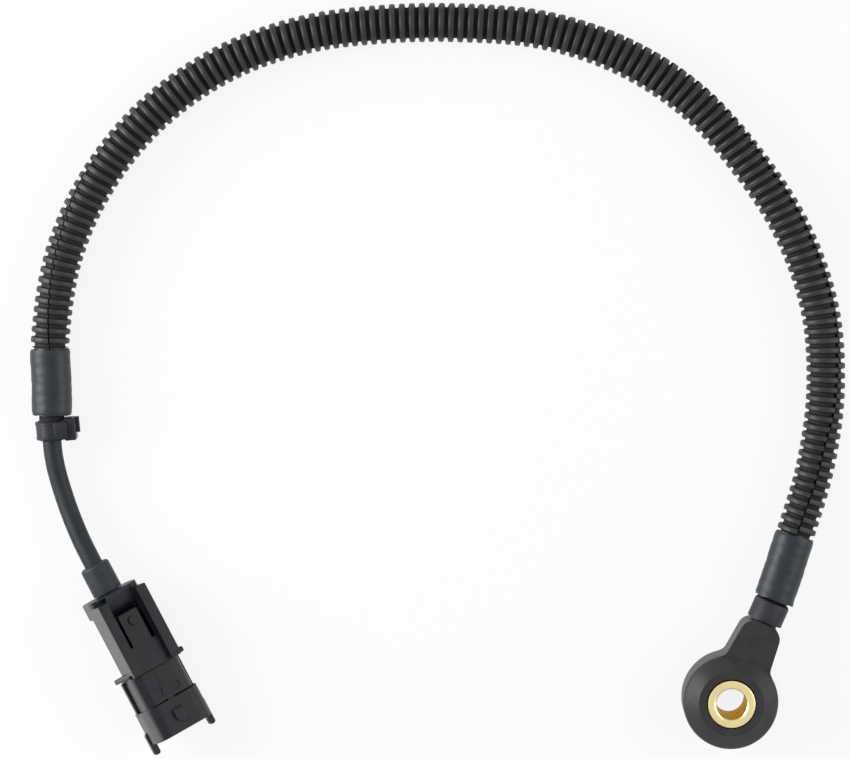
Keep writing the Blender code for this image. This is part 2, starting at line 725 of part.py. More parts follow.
def make_lead():
    """The cable, its corrugated conduit, the shrink sleeves and the inner sleeve."""
    cable = tube("cable", route.stretch(0, route.length, 2.5 * CABLE_D), CABLE_D)
    add_piece("cable", BLACK_PLASTIC, cable, parent=head)
    rings = 2 * round((conduit_end - conduit_start) / RIB_PITCH)
    widths = []
    for step in range(rings + 1):
        distance = conduit_start + (conduit_end - conduit_start) * step / rings
        shrunk = (distance < head_shrink_end + RIB_PITCH / 2
                  or distance > plug_shrink_start - RIB_PITCH / 2)
        crest = SHRUNK_CREST_D if shrunk else CREST_D
        valley = SHRUNK_VALLEY_D if shrunk else VALLEY_D
        widths.append((crest if step % 2 else valley) / CREST_D)
    hollow_tube("corrugated_conduit", BLACK_PLASTIC, conduit_start, conduit_end, CREST_D,
                CONDUIT_BORE_D, (conduit_end - conduit_start) / rings, 2, widths)
    sleeve_d = SHRINK_BORE_D + 2 * SHRINK_WALL
    for name, start, end in (
        ("head_shrink_sleeve", head_shrink_start, head_shrink_end),
        ("plug_shrink_sleeve", plug_shrink_start, plug_shrink_end),
    ):
        hollow_tube(name, SHRINK_FILM, start, end, sleeve_d, SHRINK_BORE_D, TUBE_SPACING)
    hollow_tube("inner_sleeve", BLACK_PLASTIC, plug_shrink_end - INNER_SLEEVE_HIDDEN,
                plug_shrink_end + INNER_SLEEVE_SHOWN, INNER_SLEEVE_D, CABLE_HOLE_D,
                TUBE_SPACING)


def make_tie():
    """Tie round the inner sleeve: band, ratchet head and cut tail, one moulding."""
    distance = plug_shrink_end + TIE_DISTANCE
    forward = route.along(distance)
    left = Vector((0, 0, 1)).cross(forward).normalized()
    axes = Matrix((forward, left, forward.cross(left))).transposed().to_4x4()
    frame = add_frame("tie_frame", Matrix.Translation(route.at(distance)) @ axes, head)
    half = TIE_WIDTH / 2
    outer = TIE_BORE_D + 2 * TIE_T
    band = ring("band", outer, TIE_BORE_D, -half, half, place=turn_to_x)
    inner_face = (TIE_BORE_D + TIE_T) / 2
    outer_face = outer / 2 + TIE_HEAD_REACH
    ratchet = box("ratchet", (-TIE_HEAD_WIDTH / 2, inner_face, -TIE_HEAD_HEIGHT / 2),
                  (TIE_HEAD_WIDTH / 2, outer_face, TIE_HEAD_HEIGHT / 2))
    tail = box("tail", (-TIE_STUB_WIDTH / 2 - TIE_STUB_OFFSET, inner_face, -TIE_STUB_T / 2),
               (TIE_STUB_WIDTH / 2 - TIE_STUB_OFFSET, outer_face + TIE_STUB_REACH,
                TIE_STUB_T / 2))
    add_piece("cable_tie", GREY_PLASTIC, band, [ratchet, tail], parent=frame)


along_plug = Matrix(((0, 0, 1, 0), (1, 0, 0, 0), (0, 1, 0, 0), (0, 0, 0, 1)))
plug = add_frame("plug_frame", plug_matrix, head)


def drawn(name, outline, start, end, soft=0.0, lift=0.0):
    """An outline across the plug, drawn out along its length and set above its axis."""
    return extruded(name, outline, start, end, Matrix.Translation((0, 0, lift)) @ along_plug, soft)


def make_boot():
    """Round cable entry with a spigot in the plug housing's rear."""
    r = BOOT_D / 2
    spigot = BOOT_SPIGOT_D / 2
    hole = CABLE_HOLE_D / 2
    profile = rounded([
        (hole, BOOT_SPIGOT_LENGTH, 0), (spigot, BOOT_SPIGOT_LENGTH, 0), (spigot, -CLEARANCE, 0),
        (r, -CLEARANCE, 0), (r, -BOOT_LENGTH, BOOT_RIM), (hole, -BOOT_LENGTH, 0),
    ], 3)
    add_piece("plug_boot", DARK_RUBBER, turned("boot", profile, SMALL_STEPS, turn_to_x),
              parent=plug)


def make_plug_housing():
    """Moulded housing: rear body with slide rails and a latch tongue, then the mouth shroud."""
    rail_edge = RAIL_WIDTH / 2
    inside = rail_edge - RAIL_FACE
    floor_edge = inside + RAIL_UNDERCUT / 2
    middle_top = MIDDLE_HEIGHT / 2 + MIDDLE_LIFT
    joined = [
        drawn("rear_plate", racetrack(REAR_PLATE_WIDTH, REAR_PLATE_HEIGHT, REAR_PLATE_ROUND), 0,
              REAR_PLATE_T, PLUG_EDGE),
        box("rear_lug", (REAR_PLATE_T / 2, -REAR_PLATE_WIDTH / 2, -REAR_LUG_HEIGHT / 2),
            (REAR_LUG_LENGTH, -BODY_WIDTH / 2 + OVERRUN, REAR_LUG_HEIGHT / 2)),
        box("rear_floor", (PLUG_EDGE, -floor_edge, 0),
            (RAIL_START + OVERRUN, floor_edge, CHANNEL_FLOOR)),
        box("rail_block", (RAIL_START, -rail_edge, 0), (RAIL_END, rail_edge, RAIL_TOP)),
        drawn("middle", racetrack(MIDDLE_WIDTH, MIDDLE_HEIGHT, MIDDLE_ROUND),
              RAIL_END - OVERRUN, SHROUD_START + OVERRUN, lift=MIDDLE_LIFT),
        drawn("shroud", racetrack(SHROUD_WIDTH, SHROUD_HEIGHT, SHROUD_ROUND),
              SHROUD_START, PLUG_LENGTH, PLUG_EDGE, SHROUD_LIFT),
        box("middle_rib", (RAIL_END - OVERRUN, -MIDDLE_RIB_WIDTH / 2, 0),
            (SHROUD_START + OVERRUN, MIDDLE_RIB_WIDTH / 2, middle_top + MIDDLE_RIB_RISE)),
        box("fins", (FIN_START, -FIN_REACH, -FIN_T / 2),
            (SHROUD_START + OVERRUN, FIN_REACH, FIN_T / 2)),
        rod("left_peg", PEG_D, (PEG_S, -PEG_REACH, PEG_Z), (PEG_S, 0, PEG_Z), PIN_STEPS),
        rod("right_peg", PEG_D, (PEG_S + PEG_STAGGER, 0, PEG_Z),
            (PEG_S + PEG_STAGGER, PEG_REACH, PEG_Z), PIN_STEPS),
    ]
    front = NUB_S + NUB_LENGTH
    nub_outline = rounded([
        (NUB_S, -NUB_WIDTH / 2, 0), (front, -NUB_WIDTH / 2, NUB_ROUND),
        (front, NUB_WIDTH / 2, NUB_ROUND), (NUB_S, NUB_WIDTH / 2, 0),
    ])
    top = SHROUD_HEIGHT / 2 + SHROUD_LIFT
    joined.append(extruded("nub", nub_outline, top - OVERRUN, top + NUB_HEIGHT))
    ear_end = PLUG_LENGTH + EAR_OVERHANG
    for side in (-1, 1):
        outer = side * EAR_REACH
        inner = side * (EAR_REACH - EAR_WIDTH)
        outline = rounded([(EAR_START, inner, 0), (EAR_START, outer, EAR_ROUND),
                           (ear_end, outer, EAR_ROUND), (ear_end, inner, EAR_ROUND)], 3)
        joined.append(extruded("ear", outline, -EAR_T / 2, EAR_T / 2))
    cavity_low = CHANNEL_FLOOR - TONGUE_T - TONGUE_ROOM
    room = TONGUE_WIDTH / 2 + TONGUE_SLOT
    over = RAIL_TOP + OVERRUN
    pocket_low = CHANNEL_FLOOR - TONGUE_T - TONGUE_ROOM / 2
    pocket_slope = (CHANNEL_FLOOR - pocket_low) / (TONGUE_START - TONGUE_POCKET_START)
    pocket_side = [(TONGUE_START - (over - pocket_low) / pocket_slope, over),
                   (TONGUE_START, pocket_low), (TONGUE_START, over)]
    pocket_room = room + CLEARANCE
    across = Matrix.Rotation(math.radians(90), 4, "X")
    cut = [
        box("channel", (RAIL_START - OVERRUN, -inside, CHANNEL_FLOOR),
            (RAIL_END + OVERRUN, inside, over)),
        box("undercut", (RAIL_START - OVERRUN, -inside - RAIL_UNDERCUT, CHANNEL_FLOOR),
            (RAIL_END + OVERRUN, inside + RAIL_UNDERCUT, RAIL_TOP - RAIL_LIP_T)),
        extruded("tongue_pocket", pocket_side, -pocket_room, pocket_room, across),
        box("tongue_room", (TONGUE_START - OVERRUN, -room, cavity_low),
            (TONGUE_END, room, CHANNEL_FLOOR - TONGUE_T)),
        rod("tongue_mark", TONGUE_MARK_D, (TONGUE_MARK_S, 0, CHANNEL_FLOOR - MARK_DEPTH),
            (TONGUE_MARK_S, 0, RAIL_TOP), PIN_STEPS),
        drawn("mouth", racetrack(SHROUD_WIDTH - 2 * SHROUD_WALL, SHROUD_HEIGHT - 2 * SHROUD_WALL,
                                 SHROUD_ROUND - SHROUD_WALL),
              PLUG_LENGTH - MOUTH_DEPTH, PLUG_LENGTH + OVERRUN, lift=SHROUD_LIFT),
        rod("boot_hole", BOOT_SPIGOT_D + 2 * CLEARANCE, (-OVERRUN, 0, 0),
            (BOOT_SPIGOT_LENGTH + CLEARANCE, 0, 0)),
        box("wire_room", (WIRE_ROOM_START, -WIRE_ROOM_WIDTH / 2, -WIRE_ROOM_FLOOR),
            (WIRE_ROOM_END, WIRE_ROOM_WIDTH / 2, WIRE_ROOM_TOP)),
    ]
    slot_inner = MIDDLE_RIB_WIDTH / 2 - CLEARANCE
    for side in (-1, 1):
        near, far = sorted((side * TONGUE_WIDTH / 2, side * room))
        cut.append(box("tongue_slot", (TONGUE_START - OVERRUN, near, cavity_low),
                       (TONGUE_END, far, over)))
        near, far = sorted((side * slot_inner, side * CROSS_SLOT_END))
        cut.append(box("cross_slot", (SHROUD_START - CROSS_SLOT / 2, near,
                                      top - CROSS_SLOT_DEPTH),
                       (SHROUD_START + CROSS_SLOT / 2, far, over)))
        cut.append(rod("middle_mark", MIDDLE_MARK_D,
                       (MIDDLE_MARK_S, side * MIDDLE_MARK_OFFSET, middle_top - MARK_DEPTH),
                       (MIDDLE_MARK_S, side * MIDDLE_MARK_OFFSET, over), PIN_STEPS))
    for offset in TERMINAL_OFFSETS:
        half_width = BLADE_WIDTH / 2 + CLEARANCE
        half_height = BLADE_T / 2 + CLEARANCE
        cut.append(box("blade_slot", (WIRE_ROOM_END - OVERRUN, offset - half_width, -half_height),
                       (PLUG_LENGTH - MOUTH_DEPTH + OVERRUN, offset + half_width, half_height)))
    body = drawn("body", racetrack(BODY_WIDTH, BODY_HEIGHT, BODY_ROUND), REAR_PLATE_T / 2,
                 RAIL_END + OVERRUN)
    add_piece("plug_housing", BLACK_PLASTIC, body, joined, cut, plug)


def make_terminals():
    """Blade terminals with their tails, and the cores that run to them."""
    blade = BLADE_WIDTH / 2
    tail = TAIL_WIDTH / 2
    tip = PLUG_LENGTH - BLADE_TIP_SETBACK
    chamfer = BLADE_TIP_CHAMFER
    outline = [
        (TAIL_START, -tail), (TAIL_END, -tail), (TAIL_END, -blade), (tip - chamfer, -blade),
        (tip, -blade + chamfer), (tip, blade - chamfer), (tip - chamfer, blade),
        (TAIL_END, blade), (TAIL_END, tail), (TAIL_START, tail),
    ]
    for number, offset in enumerate(TERMINAL_OFFSETS, start=1):
        placed = [(s, across + offset) for s, across in outline]
        solid = extruded("blade", placed, -BLADE_T / 2, BLADE_T / 2)
        add_piece(f"terminal_{number}", TINNED, solid, parent=plug)
    start = CABLE_IN_PLUG + CLEARANCE
    seat = BLADE_T / 2 + CLEARANCE + CORE_D / 2
    spread = (CORE_D + CLEARANCE) / math.sqrt(3)
    for name, look, offset, turn in (
        ("plug_signal_core", CORE_WHITE, TERMINAL_OFFSETS[0], 210),
        ("plug_drain_core", CORE_BARE, TERMINAL_OFFSETS[1], 90),
        ("plug_ground_core", CORE_BLUE, TERMINAL_OFFSETS[2], 330),
    ):
        angle = math.radians(turn)
        y = spread * math.cos(angle)
        z = spread * math.sin(angle)
        bend = Route([
            (start, y, z), (start + PLUG_CORE_BEND / 2, y, z),
            (TAIL_START - PLUG_CORE_BEND, offset, seat), (TAIL_START, offset, seat),
            (PLUG_CORE_END, offset, seat),
        ])
        core = tube(name, bend.stretch(0, bend.length, CORE_D), CORE_D)
        add_piece(name, look, core, parent=plug)


make_sleeve()
make_housing()
make_stack()
make_resistor()
make_head_cores()
make_grommet()
make_lead()
make_tie()
make_boot()
make_plug_housing()
make_terminals()
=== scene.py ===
import math

import bmesh
import bpy
import numpy as np
from mathutils import Matrix, Vector, noise


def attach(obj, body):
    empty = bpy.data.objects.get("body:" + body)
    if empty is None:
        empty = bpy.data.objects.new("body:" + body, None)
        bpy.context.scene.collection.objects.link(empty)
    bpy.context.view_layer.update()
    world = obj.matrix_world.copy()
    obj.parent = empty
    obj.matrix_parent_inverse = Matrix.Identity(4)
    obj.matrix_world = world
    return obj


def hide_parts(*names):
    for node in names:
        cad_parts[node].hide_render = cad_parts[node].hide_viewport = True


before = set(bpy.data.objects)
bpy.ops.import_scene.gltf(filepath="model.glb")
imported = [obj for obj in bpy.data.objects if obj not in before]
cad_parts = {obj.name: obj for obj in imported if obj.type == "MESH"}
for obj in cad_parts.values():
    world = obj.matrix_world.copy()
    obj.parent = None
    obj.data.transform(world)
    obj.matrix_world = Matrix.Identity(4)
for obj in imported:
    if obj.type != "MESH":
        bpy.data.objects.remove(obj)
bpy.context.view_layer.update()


# Camera. The sensor was photographed from straight above through a long lens, with the
# head at the lower right and its neck turned 23.4 degrees clockwise from the picture's up.
FOCAL_PIXELS, PICTURE_PIXELS = 4640, 850
bpy.ops.object.select_all(action="DESELECT")
bpy.ops.object.camera_add(
    location=(-0.13251, 0.12498, 1.27257),
    rotation=(math.radians(-3.939), math.radians(0.6775), math.radians(23.4)),
)
camera = bpy.context.object
camera.name = "camera"
camera.data.sensor_width = 36.0
camera.data.lens = FOCAL_PIXELS * 36.0 / PICTURE_PIXELS
camera.data.clip_end = 5.0
bpy.context.scene.camera = camera


# Lead. The cable leaves the neck, runs in a wide loop over the table and ends in the plug.
# A smooth curve runs through the points of the solids' route, which are set closer to the
# photo beside the tie and at the boot.
LEAD_POINTS = [
    (0.0, 0.01065, 0.0072), (0.0, 0.016, 0.0072), (0.0, 0.02135, 0.0072),
    (-0.0016, 0.03985, 0.0059), (-0.0040, 0.05915, 0.0053), (-0.0098, 0.07955, 0.0053),
    (-0.0202, 0.09945, 0.0053), (-0.0356, 0.11605, 0.0053), (-0.0544, 0.12855, 0.0053),
    (-0.0750, 0.13775, 0.0053), (-0.0973, 0.14135, 0.0053), (-0.1196, 0.13935, 0.0053),
    (-0.1406, 0.13245, 0.0053), (-0.1605, 0.12345, 0.0053), (-0.1796, 0.11195, 0.0053),
    (-0.1962, 0.09625, 0.0053), (-0.2084, 0.07665, 0.0053), (-0.2151, 0.05435, 0.0053),
    (-0.2158, 0.03115, 0.0053), (-0.2100, 0.00785, 0.0053), (-0.2052, -0.00245, 0.0053),
    (-0.2015, -0.01090, 0.0053), (-0.1997, -0.01539, 0.0052), (-0.1960, -0.02215, 0.0047),
    (-0.1890, -0.03085, 0.0047), (-0.1812, -0.03855, 0.0062), (-0.17458, -0.04396, 0.0075),
    (-0.16815, -0.04921, 0.0075), (-0.16234, -0.05395, 0.0075),
]


def lead_curve_points(divisions=24):
    """Close points on the smooth curve through the lead's route, spaced by chord roots."""
    knots = [Vector(point) for point in LEAD_POINTS]
    knots = [2 * knots[0] - knots[1], *knots, 2 * knots[-1] - knots[-2]]
    points = [knots[1]]
    for index in range(1, len(knots) - 2):
        near = knots[index - 1:index + 3]
        times = [0.0]
        for first, last in zip(near, near[1:]):
            times.append(times[-1] + math.sqrt((last - first).length))
        for division in range(1, divisions + 1):
            time = times[1] + (times[2] - times[1]) * division / divisions
            row = near
            for spans, reach in (((0, 1, 2), 1), ((0, 1), 2), ((1,), 1)):
                row = [
                    row[k].lerp(row[k + 1], (time - times[i]) / (times[i + reach] - times[i]))
                    for k, i in enumerate(spans)
                ]
            points.append(row[0])
    return points


lead_places = np.array(lead_curve_points())
lead_runs = np.linalg.norm(np.diff(lead_places, axis=0), axis=1)
lead_distances = np.concatenate(([0.0], np.cumsum(lead_runs)))
lead_length = float(lead_distances[-1])


def lead_stretch(first, last, spacing):
    """Evenly spaced points of the lead between two distances from its hidden end."""
    count = max(2, round((last - first) / spacing))
    return [
        Vector([np.interp(distance, lead_distances, lead_places[:, axis]) for axis in range(3)])
        for distance in np.linspace(first, last, count + 1)
    ]


# Distances along the lead where its pieces start and end, in metres from the hidden end.
HEAD_SLEEVE_START, HEAD_SLEEVE_END = 0.0110, 0.0295
PLUG_SLEEVE_START, PLUG_SLEEVE_END = 0.3909, 0.4089
CONDUIT_START, CONDUIT_END = 0.0109, 0.4079


# Cable. A round jacket of soft black plastic, extruded over the cores, bare only between
# the tie and the plug's boot. It is one curve from inside the neck to inside the plug.
CABLE_D = 0.00520


def poly_curve(name, places):
    """A curve object of short straight spans through places."""
    data = bpy.data.curves.new(name, "CURVE")
    data.dimensions = "3D"
    line = data.splines.new("POLY")
    line.points.add(len(places) - 1)
    for point, place in zip(line.points, places):
        point.co = (*place, 1.0)
    piece = bpy.data.objects.new(name, data)
    bpy.context.scene.collection.objects.link(piece)
    return piece


def new_material(name):
    """A new material, its node tree and its shader."""
    material = bpy.data.materials.new(name)
    material.use_nodes = True
    return material, material.node_tree, material.node_tree.nodes["Principled BSDF"]


def added(tree, kind, values=None, sources=None, **settings):
    """Add a node to a tree, with its settings, its input values and the outputs that feed it."""
    node = tree.nodes.new("ShaderNode" + kind)
    for setting, value in settings.items():
        setattr(node, setting, value)
    for socket, value in (values or {}).items():
        node.inputs[socket].default_value = value
    for socket, source in (sources or {}).items():
        tree.links.new(source, node.inputs[socket])
    return node


def texture(tree, scale, detail, where, socket="Vector", **settings):
    """The strength of a fine noise, read at a place."""
    values = {"Scale": scale, "Detail": detail}
    return added(tree, "TexNoise", values, {socket: where}, **settings).outputs["Fac"]


def tones(tree, amount, low, high, start, end):
    """A colour that runs from low to high while an amount runs from start to end."""
    ramp = added(tree, "ValToRGB", sources={"Fac": amount})
    for element, position, colour in zip(ramp.color_ramp.elements, (start, end), (low, high)):
        element.position = position
        element.color = (*colour, 1.0)
    return ramp.outputs["Color"]


def blended(tree, share, first, second):
    """A colour that goes from a socket's colour to a fixed one by a share."""
    mix = added(tree, "Mix", {7: (*second, 1.0)}, {0: share, 6: first}, data_type="RGBA")
    return mix.outputs[2]


def ranged(tree, amount, low, high):
    """A value that runs from low to high with an amount from 0 to 1."""
    span = added(tree, "MapRange", {"To Min": low, "To Max": high}, {"Value": amount})
    return span.outputs["Result"]


def bumped(tree, height, strength, distance):
    """The normal of a surface with fine bumps."""
    bump = added(tree, "Bump", {"Strength": strength, "Distance": distance}, {"Height": height})
    return bump.outputs["Normal"]


def dark_plastic(
    name, shade, rough, grain, depth, mottle=0.25, tint=(1.0, 1.0, 1.0), gleam=0.40, mark=None
):
    """A near-black plastic or rubber with a fine grain, uneven gloss and faint dusty tone.

    A mark is a piece's attribute, the grey that it paints over the colour (painted shade in the
    conduit's valleys, painted light on the plug's flanks) and what it adds to the roughness.
    """
    material, tree, shader = new_material(name)
    shader.inputs["Specular IOR Level"].default_value = gleam
    where = added(tree, "TexCoord").outputs["Object"]
    low = [shade * (1.0 - mottle) * channel for channel in tint]
    high = [shade * (1.0 + mottle) * channel for channel in tint]
    colour = tones(tree, texture(tree, 260.0, 5.0, where), low, high, 0.3, 0.7)
    roughness = ranged(tree, texture(tree, 900.0, 3.0, where), rough - 0.05, rough + 0.07)
    if mark is not None:
        attribute, mark_shade, mark_rough = mark
        amount = added(tree, "Attribute", attribute_name=attribute).outputs["Fac"]
        colour = blended(tree, amount, colour, (mark_shade, mark_shade, mark_shade))
        roughness = added(
            tree, "Math", {1: mark_rough}, {0: amount, 2: roughness}, operation="MULTIPLY_ADD"
        ).outputs["Value"]
    tree.links.new(colour, shader.inputs["Base Color"])
    tree.links.new(roughness, shader.inputs["Roughness"])
    normal = bumped(tree, texture(tree, grain, 4.0, where), 0.6, depth)
    tree.links.new(normal, shader.inputs["Normal"])
    return material


cable = poly_curve("cable_jacket", lead_stretch(0.0, lead_length, 0.003))
cable.data.bevel_depth = CABLE_D / 2
cable.data.bevel_resolution = 6
cable.data.use_fill_caps = True
cable.data.splines[0].use_smooth = True
cable.data.materials.append(
    dark_plastic(
        "cable_jacket_black", 0.017, 0.48, 2600.0, 0.00003, tint=(0.74, 1.0, 1.2), gleam=0.32
    )
)
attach(cable, "root")
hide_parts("cable")


# Corrugated conduit. A blown black plastic tube of rings, pushed over the cable through its
# long slit. One ring is drawn, spun almost round, repeated, thickened and bent along the
# lead, with the slit winding slowly round it, and its valleys get a painted shade and more
# roughness.
CONDUIT_RINGS = 149
RING_PITCH = (CONDUIT_END - CONDUIT_START) / CONDUIT_RINGS
RING_VALLEY, RING_CREST = 0.00420, 0.00534
RING_OUTLINE = [
    (0.0, RING_VALLEY), (0.30, RING_VALLEY), (0.37, 0.00510), (0.43, 0.00528),
    (0.64, RING_CREST), (0.85, 0.00528), (0.92, 0.00510), (1.0, RING_VALLEY),
]
CONDUIT_WALL = 0.0005
SLIT_HALF_ANGLE = math.radians(2.2)

# Where the slit lies round the lead, in degrees from the top towards the loop's outer side,
# and how far the rings on its two sides are out of step there.
SLIT_TURNS = [
    (0.0125, -2.0), (0.031, 1.0), (0.037, 2.0), (0.045, 8.0), (0.055, 12.0), (0.066, 31.0),
    (0.089, 48.0), (0.133, 52.0), (0.180, 95.0), (0.250, 120.0), (0.300, 105.0),
    (0.329, 76.0), (0.345, 45.0), (0.360, 27.0), (0.370, 20.0), (0.379, 11.5),
    (0.386, 3.0), (0.391, -5.0), (0.408, -9.0),
]
RING_SHIFTS = [
    (0.0125, 0.0011), (0.055, 0.0013), (0.20, 0.0004), (0.33, 0.0001), (0.408, 0.0002)
]

# Under the shrink sleeves the rings are pressed in, to this valley and share of their height.
PRESSED_VALLEY, PRESSED_SHARE, PRESSED_MARGIN = 0.00400, 0.37, 0.0006

# How far below the crest the painted shade starts and over what depth it grows, and how
# dark the painted valley shade is at distances along the conduit.
VALLEY_START, VALLEY_FADE = 0.00045, 0.0004
PAINTED_VALLEY_SHADE = [(0.10, 0.7), (0.16, 1.0), (0.29, 1.0), (0.35, 0.65)]


def read_off(pairs, distance):
    """The values between the nearest two of a list of (distance, value) pairs."""
    return np.interp(distance, [pair[0] for pair in pairs], [pair[1] for pair in pairs])


def drawn_outline(name, outline):
    """An outline of (along, radius) points, a vertex drawn out step by step in X and Z."""
    bpy.ops.object.select_all(action="DESELECT")
    bpy.ops.mesh.primitive_plane_add(size=0.001)
    piece = bpy.context.object
    piece.name = piece.data.name = name
    bpy.ops.object.mode_set(mode="EDIT")
    bpy.ops.mesh.select_mode(type="VERT")
    bpy.ops.mesh.select_all(action="SELECT")
    bpy.ops.mesh.merge(type="CENTER")
    bpy.ops.transform.translate(value=(outline[0][0], 0.0, outline[0][1]))
    for before, after in zip(outline, outline[1:]):
        step = (after[0] - before[0], 0.0, after[1] - before[1])
        bpy.ops.mesh.extrude_region_move(TRANSFORM_OT_translate={"value": step})
    bpy.ops.mesh.select_all(action="SELECT")
    return piece


def chosen(piece):
    """Deselect everything and make one piece the selected and active one."""
    bpy.ops.object.select_all(action="DESELECT")
    piece.select_set(True)
    bpy.context.view_layer.objects.active = piece
    return piece


def applied(piece):
    """Apply a piece's modifiers in order."""
    chosen(piece)
    for modifier in list(piece.modifiers):
        bpy.ops.object.modifier_apply(modifier=modifier.name)
    return piece


def tidied(piece, merge=0.000002):
    """Merge doubles and turn every face outwards."""
    chosen(piece)
    bpy.ops.object.mode_set(mode="EDIT")
    bpy.ops.mesh.select_all(action="SELECT")
    bpy.ops.mesh.remove_doubles(threshold=merge)
    bpy.ops.mesh.normals_make_consistent(inside=False)
    bpy.ops.object.mode_set(mode="OBJECT")
    return piece


def smoothed(piece, degrees=32.0):
    """Shade a piece smooth, apart from edges sharper than an angle."""
    chosen(piece)
    bpy.ops.object.shade_smooth_by_angle(angle=math.radians(degrees))
    return piece


def weighted(piece):
    """Let each large face set the shading at its edges, so that flat faces look flat."""
    steady = piece.modifiers.new("Steady shading", "WEIGHTED_NORMAL")
    steady.mode = "FACE_AREA"
    steady.weight = 90
    steady.keep_sharp = True
    return applied(piece)


def finished(piece, material, slot, *nodes):
    """Give a piece its material and hide the solids that it stands for; the slot is not used."""
    piece.data.materials.clear()
    piece.data.materials.append(material)
    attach(piece, "root")
    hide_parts(*nodes)
    return piece


def walled(piece, thickness):
    """Give an open sheet a wall on its inner side."""
    wall = piece.modifiers.new("Wall", "SOLIDIFY")
    wall.thickness = thickness
    wall.offset = -1.0
    wall.use_rim = True
    return applied(piece)


def bent_along_lead(piece, first, last, turns=None):
    """Bend a straight piece, which lies along X from 0, onto the lead from one distance on."""
    guide = poly_curve("guide", lead_stretch(first, last, 0.001))
    guide.data.twist_mode = "Z_UP"
    if turns is not None:
        points = guide.data.splines[0].points
        for index, point in enumerate(points):
            distance = first + (last - first) * index / (len(points) - 1)
            point.tilt = math.radians(read_off(turns, distance))
    bend = piece.modifiers.new("Along the lead", "CURVE")
    bend.object = guide
    bend.deform_axis = "POS_X"
    applied(piece)
    bpy.data.objects.remove(guide)
    return piece


def moved_verts(piece, move):
    """Pass a piece's vertex places, as rows of x, y, z, through a function."""
    places = np.empty(len(piece.data.vertices) * 3)
    piece.data.vertices.foreach_get("co", places)
    rows = move(places.reshape(-1, 3))
    piece.data.vertices.foreach_set("co", np.ascontiguousarray(rows, dtype=float).ravel())
    piece.data.update()
    return piece


def marked(piece, name, amounts, domain="POINT"):
    """Store how strongly each vertex or face of a piece shows its second tone."""
    layer = piece.data.attributes.new(name, "FLOAT", domain)
    layer.data.foreach_set("value", np.ascontiguousarray(amounts, dtype=np.float32))
    return piece


def share_past(values, start, fade):
    """How far values lie past a start, as a share of a fade."""
    return np.clip((values - start) / fade, 0.0, 1.0)


def pressed_and_stepped(rows):
    """Press the tube in under both shrink sleeves and put its rings out of step at the slit."""
    along = rows[:, 0] + CONDUIT_START
    radius = np.hypot(rows[:, 1], rows[:, 2])
    share = np.mod(np.arctan2(rows[:, 1], rows[:, 2]), 2 * math.pi) / (2 * math.pi)
    under_head = along < HEAD_SLEEVE_END + PRESSED_MARGIN
    under_plug = along > PLUG_SLEEVE_START - PRESSED_MARGIN
    pressed = PRESSED_VALLEY + (radius - RING_VALLEY) * PRESSED_SHARE
    rows[:, 1:] *= (np.where(under_head | under_plug, pressed, radius) / radius)[:, None]
    rows[:, 0] += read_off(RING_SHIFTS, along) * (share - 0.5)
    rows[:, 0] = np.clip(rows[:, 0], 0.0, CONDUIT_END - CONDUIT_START)
    return rows


def rested(rows):
    """Flatten the lowest rings where they rest on the floor."""
    return np.maximum(rows, (-1.0, -1.0, 0.0))


conduit = drawn_outline(
    "conduit", [(share * RING_PITCH, radius) for share, radius in RING_OUTLINE]
)
bpy.ops.transform.rotate(
    value=SLIT_HALF_ANGLE, orient_axis="X", center_override=(0.0, 0.0, 0.0)
)
bpy.ops.mesh.spin(
    steps=36, angle=2 * math.pi - 2 * SLIT_HALF_ANGLE, center=(0, 0, 0), axis=(1, 0, 0)
)
bpy.ops.object.mode_set(mode="OBJECT")
rings = conduit.modifiers.new("Rings", "ARRAY")
rings.count = CONDUIT_RINGS
rings.use_relative_offset = False
rings.use_constant_offset = True
rings.constant_offset_displace = (RING_PITCH, 0.0, 0.0)
rings.use_merge_vertices = True
rings.merge_threshold = 0.00001
applied(conduit)
# Painted shade: the valley attribute darkens the rings below their crests, most along the loop's
# middle.
ring_places = np.array([vertex.co for vertex in conduit.data.vertices])
ring_radii = np.hypot(ring_places[:, 1], ring_places[:, 2])
valley_depth = share_past(ring_radii.max() - ring_radii, VALLEY_START, VALLEY_FADE)
marked(conduit, "valley", valley_depth * read_off(PAINTED_VALLEY_SHADE, ring_places[:, 0]))
moved_verts(conduit, pressed_and_stepped)
tidied(conduit, 0.000001)
walled(conduit, CONDUIT_WALL)
bent_along_lead(conduit, CONDUIT_START, CONDUIT_END, SLIT_TURNS)
moved_verts(conduit, rested)
smoothed(conduit, 40.0)
finished(
    conduit,
    # The valley mark paints a near-black shade into the valleys and makes them rougher.
    dark_plastic(
        "conduit_black", 0.022, 0.44, 1900.0, 0.00003, tint=(0.98, 1.0, 1.12),
        mark=("valley", 0.004, 0.45),
    ),
    "conduit_plastic", "corrugated_conduit",
)


# Shrink sleeves. Thin film sleeves, shrunk by heat over the conduit's two ends, so that its
# rings only just show through and the cut ends are ragged. Each one is slightly flattened
# where it rests on the floor, and the head's end flares a little on one side.
SHRINK_RADIUS, SHRINK_WALL = 0.00550, 0.00042
SHRINK_RINGS = 7
SHRINK_RIPPLE, SHRINK_END_DROP = 0.00002, 0.00016
SHRINK_HEIGHT = 0.935
SWELL, FINE_SWELL = 0.00009, 0.00003
FLARE_SHARE = 0.07
RAGGED, RAGGED_SHARE = 0.0005, 0.12


def spun(name, outline, steps):
    """An outline of (along, radius) points, spun once about X."""
    piece = drawn_outline(name, outline)
    bpy.ops.mesh.spin(steps=steps, angle=2 * math.pi, center=(0, 0, 0), axis=(1, 0, 0))
    bpy.ops.object.mode_set(mode="OBJECT")
    return tidied(piece)


